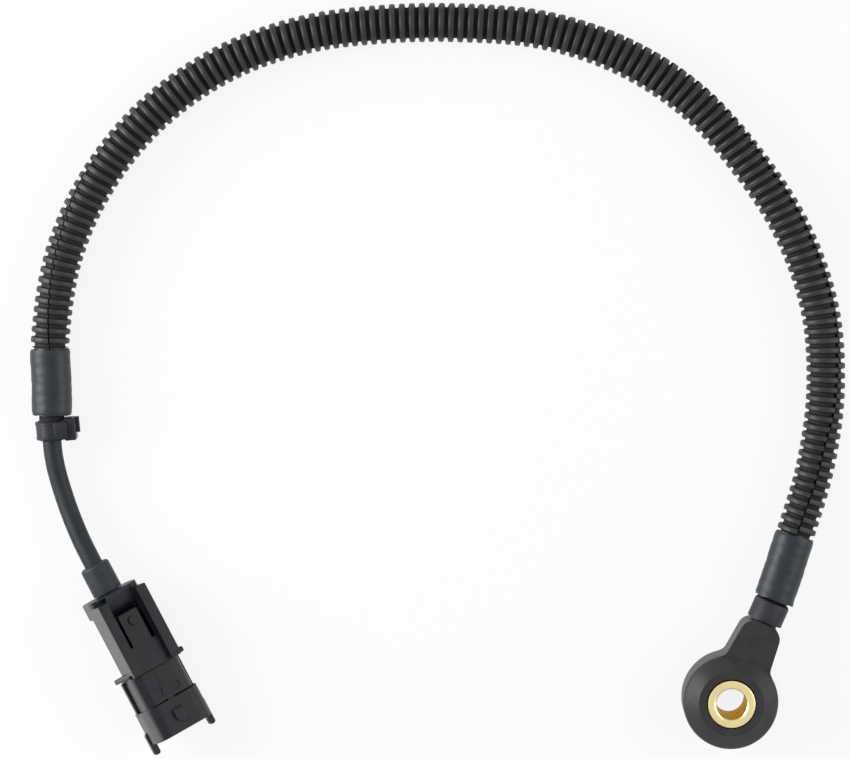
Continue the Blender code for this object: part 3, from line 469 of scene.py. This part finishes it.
def shrink_sleeve(name, node, first, last, seed, flare, lean):
    """A rippled film sleeve with uneven ends, bent onto the lead."""
    length = last - first
    steps = SHRINK_RINGS * 8
    outline = []
    for step in range(steps + 1):
        share = step / steps
        ripple = SHRINK_RIPPLE * math.cos(2 * math.pi * (share * SHRINK_RINGS - 0.35))
        end = SHRINK_END_DROP * (share < 0.02 or share > 0.98)
        outline.append((length * share, SHRINK_RADIUS + ripple - end))
    sleeve = spun(name, outline, 64)

    def worn(rows):
        for row in rows:
            share = row[0] / length
            angle = math.atan2(row[1], row[2])
            side, top = math.cos(angle), math.sin(angle)
            swell = noise.noise(Vector((side * 1.6, top * 1.6, row[0] * 420 + seed))) * SWELL
            swell += noise.noise(Vector((side * 5, top * 5, row[0] * 900 + seed))) * FINE_SWELL
            near_start = max(0.0, 1.0 - share / FLARE_SHARE) ** 1.5
            swell += near_start * flare * (0.4 + 0.6 * math.cos(angle - lean))
            grow = 1.0 + swell / math.hypot(row[1], row[2])
            row[1] *= grow
            row[2] *= grow * SHRINK_HEIGHT
            ragged = noise.noise(Vector((side * 2.2, top * 2.2, seed))) * RAGGED
            at_start = max(0.0, 1.0 - share / RAGGED_SHARE)
            at_end = max(0.0, (share - (1.0 - RAGGED_SHARE)) / RAGGED_SHARE)
            row[0] += ragged * (at_start - at_end)
        return rows

    moved_verts(sleeve, worn)
    walled(sleeve, SHRINK_WALL)
    bent_along_lead(sleeve, first, last)
    smoothed(sleeve, 50.0)
    return finished(sleeve, shrink_film, "shrink_film", node)


shrink_film = dark_plastic(
    "shrink_film_grey", 0.019, 0.42, 3200.0, 0.00002, mottle=0.2, tint=(0.70, 1.0, 1.22)
)
head_shrink = shrink_sleeve(
    "head_shrink", "head_shrink_sleeve", HEAD_SLEEVE_START, HEAD_SLEEVE_END,
    3.1, 0.00035, math.radians(-70),
)
plug_shrink = shrink_sleeve(
    "plug_shrink", "plug_shrink_sleeve", PLUG_SLEEVE_START, PLUG_SLEEVE_END, 8.7, 0.0, 0.0
)


# Inner sleeve. A second, thinner length of slit tube that comes out of the shrink sleeve at
# the plug's end and is clamped on the cable by the tie. It takes the valleys' darker grey and
# added roughness all over.
INNER_SLEEVE_START, INNER_SLEEVE_END = PLUG_SLEEVE_END - 0.006, PLUG_SLEEVE_END + 0.0069
INNER_SLEEVE_WALL, INNER_SLEEVE_DARKNESS = 0.0004, 0.8
inner_sleeve = spun("inner_tube", [
    (0.0, 0.00337), (0.0001, 0.00347), (0.0030, 0.00349), (0.0060, 0.00350), (0.0090, 0.00343),
    (0.0096, 0.00347), (0.0110, 0.00350), (0.0127, 0.00350), (0.0129, 0.00343),
], 48)
walled(inner_sleeve, INNER_SLEEVE_WALL)
darkness = np.full(len(inner_sleeve.data.vertices), INNER_SLEEVE_DARKNESS)
marked(inner_sleeve, "valley", darkness)
bent_along_lead(inner_sleeve, INNER_SLEEVE_START, INNER_SLEEVE_END)
smoothed(inner_sleeve)
finished(inner_sleeve, conduit.data.materials[0], "conduit_plastic", "inner_sleeve")


# Cable tie. One moulding of tough grey-black plastic: a ribbed band drawn tight, the square
# ratchet head on the inner side of the bend, the strap that folds into it and the cut end
# of the tail that stands out.
TIE_DISTANCE = PLUG_SLEEVE_END + 0.0041
TIE_TURN = math.radians(6)


def block(name, low, high):
    """A cube primitive stretched between two opposite corners."""
    bpy.ops.object.select_all(action="DESELECT")
    middle = [(a + b) / 2 for a, b in zip(low, high)]
    bpy.ops.mesh.primitive_cube_add(size=1.0, location=middle)
    piece = bpy.context.object
    piece.name = piece.data.name = name
    piece.scale = [b - a for a, b in zip(low, high)]
    bpy.ops.object.transform_apply(location=True, rotation=True, scale=True)
    return piece


def softened(piece, width, segments=3, degrees=40.0):
    """Round a piece's edges that are sharper than an angle."""
    bevel = piece.modifiers.new("Soft edges", "BEVEL")
    bevel.width = width
    bevel.segments = segments
    bevel.limit_method = "ANGLE"
    bevel.angle_limit = math.radians(degrees)
    return applied(piece)


def combined(piece, tools, operation="UNION"):
    """Join other solids to a piece or cut them from it, and remove them."""
    for tool in tools:
        step = piece.modifiers.new(tool.name, "BOOLEAN")
        step.operation = operation
        step.solver = "EXACT"
        step.object = tool
    applied(piece)
    for tool in tools:
        bpy.data.objects.remove(tool)
    return piece


def placed(piece, place):
    """Set a piece at its place and write the place into its mesh."""
    chosen(piece)
    piece.matrix_world = place
    bpy.ops.object.transform_apply(location=True, rotation=True, scale=True)
    return piece


def turned(name, outline, steps=96):
    """A closed outline of (along, radius) points, spun about X into a solid."""
    return spun(name, [*outline, outline[0]], steps)


tie = turned("tie", [
    (-0.0025, 0.00362), (-0.0025, 0.00412), (-0.0023, 0.00432), (-0.0017, 0.00434),
    (-0.0015, 0.00420), (0.0015, 0.00420), (0.0017, 0.00434), (0.0023, 0.00432),
    (0.0025, 0.00412), (0.0025, 0.00362),
])
combined(tie, [
    softened(block(name, low, high), edge) for name, low, high, edge in (
        ("tie_head", (-0.0030, 0.0037, -0.0025), (0.0032, 0.0068, 0.0030), 0.0004),
        ("tie_end", (-0.0022, 0.0010, 0.0030), (0.0022, 0.0046, 0.0043), 0.0003),
        ("tie_fold", (-0.0025, 0.0030, 0.0024), (0.0027, 0.0040, 0.0039), 0.0002),
        ("tie_tail", (-0.0030, 0.0037, -0.0010), (0.0013, 0.0078, 0.00065), 0.0001),
    )
])
softened(tie, 0.00008, 2)
tie_at = lead_stretch(TIE_DISTANCE - 0.0005, TIE_DISTANCE + 0.0005, 0.0005)
tie_along = (tie_at[2] - tie_at[0]).normalized()
tie_left = Vector((0.0, 0.0, 1.0)).cross(tie_along).normalized()
tie_axes = Matrix((tie_along, tie_left, tie_along.cross(tie_left))).transposed().to_4x4()
placed(tie, Matrix.Translation(tie_at[1]) @ tie_axes @ Matrix.Rotation(TIE_TURN, 4, "Z"))
smoothed(tie)
finished(
    tie,
    dark_plastic("tie_grey", 0.020, 0.38, 2400.0, 0.00002, tint=(0.92, 1.0, 1.3), gleam=0.30),
    "tie_plastic", "cable_tie",
)


# Cable grommet. A round moulded collar with a spigot pressed in the neck; the cable leaves
# through it. Its body has a rounded rim on the lead's side.
HEAD_AXIS = (0.0, -0.00835, 0.0)
LEAD_HEIGHT = 0.0072
grommet = turned("grommet", [
    (0.0297, 0.0027), (0.0297, 0.0039), (0.02955, 0.0044), (0.0292, 0.0048), (0.0287, 0.00495),
    (0.0236, 0.00495), (0.0236, 0.0037), (0.0211, 0.0037), (0.0211, 0.0027),
])
grommet_centre = Matrix.Translation((HEAD_AXIS[0], HEAD_AXIS[1], LEAD_HEIGHT))
placed(grommet, grommet_centre @ Matrix.Rotation(math.radians(90), 4, "Z"))
smoothed(grommet)
finished(
    grommet,
    dark_plastic("grommet_grey", 0.018, 0.50, 2200.0, 0.00003, tint=(0.95, 1.0, 1.3), gleam=0.36),
    "grommet_plastic", "cable_grommet",
)


# Head housing. The round body and the neck are one moulding in black filled plastic. The
# body is turned, the neck is a block with four rounded corners and a hollow fillet into
# the body on each side, and the moulding is hollow below for the flange and the stack.
HEAD_CENTRE = Matrix.Translation(HEAD_AXIS)
UPRIGHT = Matrix.Rotation(math.radians(-90), 4, "Y")
NECK_ROOT_HALF, NECK_TIP_HALF = 0.00707, 0.00525


def picked(piece, kind, wanted):
    """Open a piece in edit mode with the vertices, edges or faces selected that pass a test."""
    bpy.ops.object.mode_set(mode="EDIT")
    bpy.ops.mesh.select_mode(type=kind)
    bpy.ops.mesh.select_all(action="DESELECT")
    mesh = bmesh.from_edit_mesh(piece.data)
    for part in {"VERT": mesh.verts, "EDGE": mesh.edges, "FACE": mesh.faces}[kind]:
        part.select = wanted(part)
    bmesh.update_edit_mesh(piece.data)


def rounded(piece, wanted, radius, segments, clamped=False):
    """Round the edges of a piece that pass a test."""
    picked(piece, "EDGE", wanted)
    bpy.ops.mesh.bevel(offset=radius, segments=segments, affect="EDGES", clamp_overlap=clamped)
    bpy.ops.object.mode_set(mode="OBJECT")
    return piece


def rise(edge):
    """How far an edge rises from one of its ends to the other."""
    return abs(edge.verts[0].co.z - edge.verts[1].co.z)


def cylinder(radius, depth, middle, vertices=64, tilt=0.0):
    """A cylinder primitive about an upright axis, or about one that is tilted back."""
    bpy.ops.object.select_all(action="DESELECT")
    bpy.ops.mesh.primitive_cylinder_add(
        vertices=vertices, radius=radius, depth=depth, location=middle, rotation=(tilt, 0.0, 0.0)
    )
    return bpy.context.object


puck = turned("head", [
    (0.0177, 0.0068), (0.0177, 0.0087), (0.01762, 0.00893), (0.0174, 0.0091), (0.01425, 0.01240),
    (0.01385, 0.01274), (0.0133, 0.01294), (0.0128, 0.0130), (0.0010, 0.0130), (0.0006, 0.0129),
    (0.0004, 0.0126), (0.0004, 0.0113), (0.0029, 0.0113), (0.0029, 0.0106), (0.0104, 0.0106),
    (0.0104, 0.0099), (0.0158, 0.0099), (0.0158, 0.0068),
], 128)
placed(puck, UPRIGHT)
neck = block("neck", (-NECK_ROOT_HALF, 0.0060, 0.0006), (NECK_ROOT_HALF, 0.0233, 0.0139))
picked(neck, "FACE", lambda face: face.normal.y > 0.9)
bpy.ops.transform.resize(value=(NECK_TIP_HALF / NECK_ROOT_HALF, 1.0, 1.0))
rounded(
    neck, lambda edge: rise(edge) > 0.01 and min(end.co.y for end in edge.verts) > 0.02,
    0.0033, 10, clamped=True,
)
root = block("neck_root", (-0.007608, 0.0070, 0.0006), (0.007608, 0.012666, 0.0139))
scoops = [
    cylinder(0.0030, 0.03, (side * 0.009364, 0.012974, LEAD_HEIGHT), 96) for side in (-1, 1)
]
combined(root, scoops, "DIFFERENCE")
combined(neck, [root])
softened(neck, 0.0005, 3, 55.0)
combined(puck, [neck])
combined(puck, [
    cylinder(0.0040, 0.006, (0.0, 0.0237, LEAD_HEIGHT), tilt=math.radians(90)),
    block("chamber", (-0.0034, 0.0090, 0.0032), (0.0034, 0.0184, 0.0097)),
    cylinder(0.0026, 0.010, (0.0, 0.0200, LEAD_HEIGHT), tilt=math.radians(90)),
], "DIFFERENCE")
placed(puck, HEAD_CENTRE)
smoothed(puck, 30.0)
weighted(puck)
finished(
    puck,
    dark_plastic("head_black", 0.020, 0.46, 2400.0, 0.00004, mottle=0.3, tint=(1.0, 0.98, 1.04)),
    "head_plastic", "head_housing",
)


# Fixing sleeve. Turned from brass with a flange below, a straight bore for the bolt and a
# flat end that stands just proud of the moulding. Fine turning marks run round it, and the
# bore, which faces the dark, is painted a deeper, darker gold for the shade and warm bounced light
# inside it.
BORE_SHADE_END, BORE_SHADE_START = 0.00425, 0.00445


def turned_metal(name, colour, bore, rough, centre):
    """A bare metal with fine rings of turning marks about an upright axis and a painted shade in
    the bore.
    """
    material, tree, shader = new_material(name)
    shader.inputs["Metallic"].default_value = 1.0
    shader.inputs["Specular Tint"].default_value = (*bore, 1.0)
    where = added(tree, "TexCoord").outputs["Object"]
    shift = added(tree, "VectorMath", {1: centre}, {0: where}, operation="SUBTRACT")
    from_axis = shift.outputs["Vector"]
    worn = [channel * 0.94 for channel in colour]
    face = tones(tree, texture(tree, 300.0, 4.0, from_axis), worn, colour, 0.35, 0.65)
    flat = added(tree, "VectorMath", {1: (1.0, 1.0, 0.0)}, {0: from_axis}, operation="MULTIPLY")
    length = added(tree, "VectorMath", sources={0: flat.outputs["Vector"]}, operation="LENGTH")
    reach = length.outputs["Value"]
    # Painted shade: inside the bore's radius the colour turns to the darker bore colour.
    limits = {"From Min": BORE_SHADE_START, "From Max": BORE_SHADE_END}
    inward = added(tree, "MapRange", limits, {"Value": reach}).outputs["Result"]
    tree.links.new(blended(tree, inward, face, bore), shader.inputs["Base Color"])
    lines = texture(tree, 5200.0, 2.0, reach, "W", noise_dimensions="1D")
    tree.links.new(ranged(tree, lines, rough - 0.06, rough + 0.08), shader.inputs["Roughness"])
    tree.links.new(bumped(tree, lines, 0.25, 0.00002), shader.inputs["Normal"])
    return material


fixing_sleeve = turned("brass_sleeve", [
    (0.0180, 0.00475), (0.0180, 0.0062), (0.01792, 0.0064), (0.0177, 0.0065), (0.0026, 0.0065),
    (0.0026, 0.0107), (0.0023, 0.0110), (0.0003, 0.0110), (0.0, 0.0107), (0.0, 0.0047),
    (0.0005, 0.0042), (0.0176, 0.0042), (0.0179, 0.0045),
], 128)
placed(fixing_sleeve, HEAD_CENTRE @ UPRIGHT)
smoothed(fixing_sleeve)
finished(
    fixing_sleeve,
    turned_metal("sleeve_brass", (1.0, 0.86, 0.44), (0.60, 0.40, 0.14), 0.30, HEAD_AXIS),
    "sleeve_brass", "fixing_sleeve",
)


# Plug boot. A round collar of dark rubber where the cable enters the plug, with a rounded
# rear rim and a spigot inside the housing.
PLUG_PLACE = (
    Matrix.Translation((-0.16815, -0.04921, 0.0075))
    @ Matrix.Rotation(math.radians(-39.2), 4, "Z") @ Matrix.Rotation(math.radians(-25.7), 4, "X")
)
boot = turned("boot", [
    (0.0055, 0.0026), (0.0055, 0.0033), (-0.0003, 0.0033), (-0.0003, 0.00418), (-0.0076, 0.00416),
    (-0.0080, 0.0041), (-0.0083, 0.0039), (-0.0085, 0.0035), (-0.0086, 0.0030), (-0.0086, 0.0026),
])
placed(boot, PLUG_PLACE)
smoothed(boot)
finished(
    boot,
    dark_plastic("boot_grey", 0.023, 0.50, 2600.0, 0.00003, tint=(0.80, 1.0, 1.18), gleam=0.37),
    "boot_rubber", "plug_boot",
)


# Plug housing. One moulding in black filled plastic, built along X and laid in place: rear
# plate, slide channel with hooked rails and latch tongue, waist with fins and rib, and the
# mouth's shroud with its ears and nub. Its flanks are painted a paler grey for the side lamps'
# light, the left one more.
RIGHT_FLANK_LIGHT_SHARE = 0.25


def bar(name, low, high, radius):
    """A block whose four long edges, which run along X, are rounded."""
    def along_x(edge):
        run = edge.verts[1].co - edge.verts[0].co
        return abs(run.x) > 0.9 * run.length

    return rounded(block(name, low, high), along_x, radius, 12)


def pin(name, radius, start, end, vertices=32):
    """A cylinder primitive between two points."""
    run = Vector(end) - Vector(start)
    bpy.ops.object.select_all(action="DESELECT")
    bpy.ops.mesh.primitive_cylinder_add(
        vertices=vertices, radius=radius, depth=run.length,
        location=(Vector(start) + Vector(end)) / 2,
        rotation=run.to_track_quat("Z", "Y").to_euler(),
    )
    piece = bpy.context.object
    piece.name = piece.data.name = name
    bpy.ops.object.transform_apply(location=True, rotation=True, scale=True)
    return piece


def shifted_verts(piece, low, high, step):
    """Move a piece's vertices that lie between two corners."""
    picked(piece, "VERT", lambda vert: all(a <= v <= b for a, v, b in zip(low, vert.co, high)))
    bpy.ops.transform.translate(value=step)
    bpy.ops.object.mode_set(mode="OBJECT")
    return piece


plug = bar("plug", (0.0008, -0.0073, -0.0057), (0.0247, 0.0073, 0.0057), 0.0054)
lug = block("rear_lug", (0.0002, -0.0079, -0.0020), (0.0048, -0.0065, 0.0023))
shifted_verts(lug, (0.0, -0.0085, 0.0), (0.006, -0.0075, 0.004), (0.0, 0.00030, 0.0))
floor_block = block("rear_floor", (0.00022, -0.0060, 0.0), (0.0028, 0.0060, 0.0065))
left_peg = block("left_peg", (0.0220, -0.0107, 0.0002), (0.0234, -0.0070, 0.0052))
shifted_verts(left_peg, (0.0, -0.02, 0.004), (0.03, -0.01, 0.006), (0.0, 0.0, -0.0042))
rear_plate = bar("rear_plate", (0.00015, -0.0078, -0.0059), (0.0019, 0.0078, 0.0059), 0.0046)
shroud_low, shroud_high = (0.0332, -0.00905, -0.0054), (0.04275, 0.00935, 0.0062)
plug_parts = [
    softened(rear_plate, 0.0001),
    softened(lug, 0.00015),
    softened(floor_block, 0.00015),
    softened(block("rails", (0.0018, -0.00766, 0.0), (0.0237, 0.0078, 0.0086)), 0.00035),
    bar("waist", (0.0227, -0.00805, -0.0052), (0.0342, 0.00805, 0.0060), 0.0034),
    softened(bar("shroud", shroud_low, shroud_high, 0.0045), 0.0003),
    softened(block("waist_rib", (0.0227, -0.0011, 0.0), (0.0342, 0.00095, 0.0061)), 0.00006),
    softened(block("left_fin", (0.0239, -0.0092, -0.0003), (0.0342, 0.0, 0.0008)), 0.00015),
    softened(block("right_fin", (0.0239, 0.0, -0.0008), (0.0342, 0.0093, 0.0008)), 0.00015),
    softened(left_peg, 0.00035),
    softened(pin("right_peg", 0.00080, (0.02325, 0.0, 0.0021), (0.02325, 0.0108, 0.0021)), 0.0003),
]


def ear_corner(edge):
    """Whether an edge is an upright one at an ear's front end or on its outer side."""
    end = edge.verts[0].co
    return rise(edge) > 0.0005 and (end.x > 0.045 or abs(end.y) > 0.009)


for name, low, high in (
    ("left_ear", (0.0390, -0.0098, -0.0012), (0.04565, -0.0078, 0.0001)),
    ("right_ear", (0.0375, 0.0081, -0.0004), (0.04565, 0.0098, 0.0016)),
):
    ear = rounded(block(name, low, high), ear_corner, 0.00082, 6)
    plug_parts.append(softened(ear, 0.00015, 2))
nub = rounded(
    block("nub", (0.0365, -0.00165, 0.0052), (0.0401, 0.00165, 0.0072)),
    lambda edge: rise(edge) > 0.001 and min(end.co.x for end in edge.verts) > 0.040, 0.0015, 8,
)
shifted_verts(nub, (0.036, -0.0020, 0.005), (0.041, 0.0020, 0.006), (0.0002, 0.0003, 0.0))
plug_parts.append(nub)
combined(plug, plug_parts)

pocket = block("tongue_pocket", (-0.0005, -0.0043, 0.0046), (0.0068, 0.0044, 0.0106))
shifted_verts(pocket, (-0.001, -0.01, 0.0), (0.0, 0.01, 0.006), (0.0, 0.0, 0.0023))
scoop = block("tongue_scoop", (0.0030, -0.0040, 0.0031), (0.0068, 0.0043, 0.0106))
shifted_verts(scoop, (0.002, -0.01, 0.0), (0.004, 0.01, 0.005), (0.0, 0.0, 0.0034))
plug_cuts = [
    block("channel", (-0.0010, -0.0047, 0.0065), (0.0247, 0.0048, 0.0096)),
    block("undercut", (0.0008, -0.0060, 0.0065), (0.0247, 0.0061, 0.0074)),
    pocket,
    scoop,
    block("tongue_room", (0.0067, -0.00392, 0.0031), (0.0162, 0.00428, 0.0052)),
    softened(block("right_slot", (0.0058, 0.0029, 0.0036), (0.0162, 0.0043, 0.0106)), 0.0002),
    softened(block("left_slot", (0.0058, -0.00395, 0.0036), (0.0162, -0.0031, 0.0106)), 0.0002),
    block("seam", (0.0237, -0.0070, 0.0054), (0.02400, 0.0078, 0.0096)),
    block("left_notch", (0.0005, -0.0074, 0.0040), (0.0018, -0.0038, 0.0075)),
    block("peg_notch", (0.0226, -0.0095, 0.0044), (0.0237, -0.0069, 0.0076)),
    bar("mouth", (0.03355, -0.00755, -0.0039), (0.0438, 0.00785, 0.0047), 0.0030),
    pin("boot_hole", 0.0036, (-0.001, 0.0, 0.0), (0.0058, 0.0, 0.0)),
    block("wire_room", (0.0055, -0.0053, -0.0026), (0.0220, 0.0053, 0.0024)),
    block("left_cross_slot", (0.03292, -0.0063, 0.0048), (0.03345, -0.0011, 0.0106)),
    block("right_cross_slot", (0.03292, 0.00095, 0.0040), (0.03345, 0.0085, 0.0106)),
]
for offset in (-0.0027, 0.0027):
    mark_low, mark_high = (0.0306, offset, 0.0057), (0.0306, offset, 0.0106)
    plug_cuts.append(pin("waist_mark", 0.0013, mark_low, mark_high, 48))
for offset in (-0.004, 0.0, 0.004):
    slot_low, slot_high = (0.021, offset - 0.0017, -0.0007), (0.0345, offset + 0.0017, 0.0007)
    plug_cuts.append(block("blade_slot", slot_low, slot_high))
combined(plug, plug_cuts, "DIFFERENCE")
tongue_boss = pin("tongue_boss", 0.00132, (0.0095, 0.0003, 0.0056), (0.0095, 0.0003, 0.0071), 48)
combined(plug, [softened(tongue_boss, 0.00025)])
tidied(plug, 0.000001)
softened(plug, 0.00009, 2, 38.0)
# Painted light: faces turned to the left, out past the rails, and more weakly faces turned to the
# right, get a paler grey for the side lamps' light.
plug_turns = np.array([face.normal.y for face in plug.data.polygons])
plug_reaches = np.array([face.center.y for face in plug.data.polygons])
turned_left = share_past(-plug_turns, start=0.45, fade=0.3)
left_flank_light = turned_left * share_past(-plug_reaches, start=0.0069, fade=0.0008)
right_flank_light = share_past(plug_turns, start=0.25, fade=0.4) * (plug_reaches > 0.0055)
marked(plug, "painted_flank_light", left_flank_light + RIGHT_FLANK_LIGHT_SHARE * right_flank_light, "FACE")
placed(plug, PLUG_PLACE)
smoothed(plug, 35.0)
weighted(plug)
finished(
    plug,
    dark_plastic(
        "plug_black", 0.011, 0.42, 2100.0, 0.00006, mottle=0.3, tint=(0.92, 1.0, 1.3),
        gleam=0.28, mark=("painted_flank_light", 0.115, 0.0),
    ),
    "plug_plastic", "plug_housing",
)


# Hidden pieces and the terminals. These solids are right as they are, so they keep their
# shapes and get their real materials: turned steel, tinned sheet, fired ceramic, film, cores.
def plain_finish(name, low, high, rough, metallic=0.0, scale=400.0):
    """A fine uneven colour and gloss for a small hidden piece."""
    material, tree, shader = new_material(name)
    shader.inputs["Metallic"].default_value = metallic
    tone = texture(tree, scale, 4.0, added(tree, "TexCoord").outputs["Object"])
    tree.links.new(tones(tree, tone, low, high, 0.35, 0.65), shader.inputs["Base Color"])
    tree.links.new(ranged(tree, tone, rough - 0.05, rough + 0.05), shader.inputs["Roughness"])
    return material


steel = turned_metal("stack_steel", (0.56, 0.56, 0.57), (0.45, 0.45, 0.46), 0.34, HEAD_AXIS)
tinned = plain_finish("tinned_sheet", (0.62, 0.62, 0.60), (0.74, 0.74, 0.72), 0.30, 1.0)
ceramic = plain_finish("fired_ceramic", (0.70, 0.68, 0.62), (0.77, 0.75, 0.70), 0.62)
film = plain_finish("amber_film", (0.54, 0.30, 0.08), (0.62, 0.37, 0.11), 0.38)
core_white = plain_finish("core_white", (0.70, 0.70, 0.67), (0.76, 0.76, 0.73), 0.5)
core_blue = plain_finish("core_blue", (0.07, 0.14, 0.41), (0.09, 0.17, 0.47), 0.5)
core_bare = plain_finish("core_bare", (0.62, 0.38, 0.25), (0.72, 0.46, 0.31), 0.35, 1.0, 1500.0)
for node, material in {
    "lower_insulator": film, "upper_insulator": film,
    "lower_contact_disc": tinned, "upper_contact_disc": tinned,
    "piezo_ring": ceramic, "seismic_mass": steel, "spring_washer": steel,
    "retaining_nut": steel, "shunt_resistor": core_blue, "signal_core": core_white,
    "ground_core": core_blue, "terminal_1": tinned, "terminal_2": tinned,
    "terminal_3": tinned, "plug_signal_core": core_white, "plug_drain_core": core_bare,
    "plug_ground_core": core_blue,
}.items():
    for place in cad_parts[node].material_slots:
        place.material = material


# Floor, world and lights. A plain white sweep under soft light from both sides; the floor
# and the world show white to the camera and to reflections, and the shadow stays.
FLOOR_GLOW_SHARE = 0.86
SKY_STRENGTH, SKY_GLOSS_EXTRA = 0.42, 0.32
LIGHT_AIM, LIGHT_SIZE = Vector((-0.10, 0.03, 0.0)), 0.7
bpy.ops.object.select_all(action="DESELECT")
bpy.ops.mesh.primitive_plane_add(size=6.0, location=(0.0, 0.0, 0.0))
floor = bpy.context.object
floor.name = "floor"
floor_white, floor_tree, floor_shader = new_material("floor_white")
floor_shader.inputs["Base Color"].default_value = (0.90, 0.90, 0.90, 1.0)
floor_shader.inputs["Roughness"].default_value = 0.9
floor_shader.inputs["Specular IOR Level"].default_value = 0.0
floor_glow = added(floor_tree, "Emission", {"Color": (1.0, 1.0, 1.0, 1.0), "Strength": 1.0})
floor_ray = added(floor_tree, "LightPath").outputs
floor_seen = floor_ray["Is Camera Ray"]
for ray in ("Is Glossy Ray", "Is Transmission Ray"):
    either = {0: floor_seen, 1: floor_ray[ray]}
    floor_seen = added(floor_tree, "Math", sources=either, operation="MAXIMUM").outputs["Value"]
floor_share = added(
    floor_tree, "Math", {1: FLOOR_GLOW_SHARE}, {0: floor_seen}, operation="MULTIPLY"
)
floor_mix = added(floor_tree, "MixShader", sources={
    "Fac": floor_share.outputs["Value"],
    1: floor_shader.outputs["BSDF"], 2: floor_glow.outputs["Emission"],
})
floor_surface = floor_tree.nodes["Material Output"].inputs["Surface"]
floor_tree.links.new(floor_mix.outputs["Shader"], floor_surface)
floor.data.materials.append(floor_white)

world = bpy.data.worlds.new("studio")
world.use_nodes = True
bpy.context.scene.world = world
sky = world.node_tree.nodes["Background"]
sky.inputs["Color"].default_value = (0.98, 0.98, 1.0, 1.0)
sky_ray = added(world.node_tree, "LightPath").outputs
sky_gloss = added(
    world.node_tree, "Math", {1: SKY_GLOSS_EXTRA, 2: SKY_STRENGTH},
    {0: sky_ray["Is Glossy Ray"]}, operation="MULTIPLY_ADD",
)
sky_level = added(
    world.node_tree, "Math",
    sources={0: sky_ray["Is Camera Ray"], 1: sky_gloss.outputs["Value"]}, operation="MAXIMUM",
)
world.node_tree.links.new(sky_level.outputs["Value"], sky.inputs["Strength"])

for name, place, power in (
    ("left_light", (-0.86, -0.14, 0.34), 8.2), ("right_light", (0.50, 0.38, 0.42), 2.8),
):
    bpy.ops.object.select_all(action="DESELECT")
    aim = LIGHT_AIM - Vector(place)
    bpy.ops.object.light_add(
        type="AREA", location=place, rotation=aim.to_track_quat("-Z", "Y").to_euler()
    )
    lamp = bpy.context.object
    lamp.name = name
    lamp.data.shape = "DISK"
    lamp.data.size = LIGHT_SIZE
    lamp.data.energy = power

bpy.context.scene.view_settings.view_transform = "Standard"
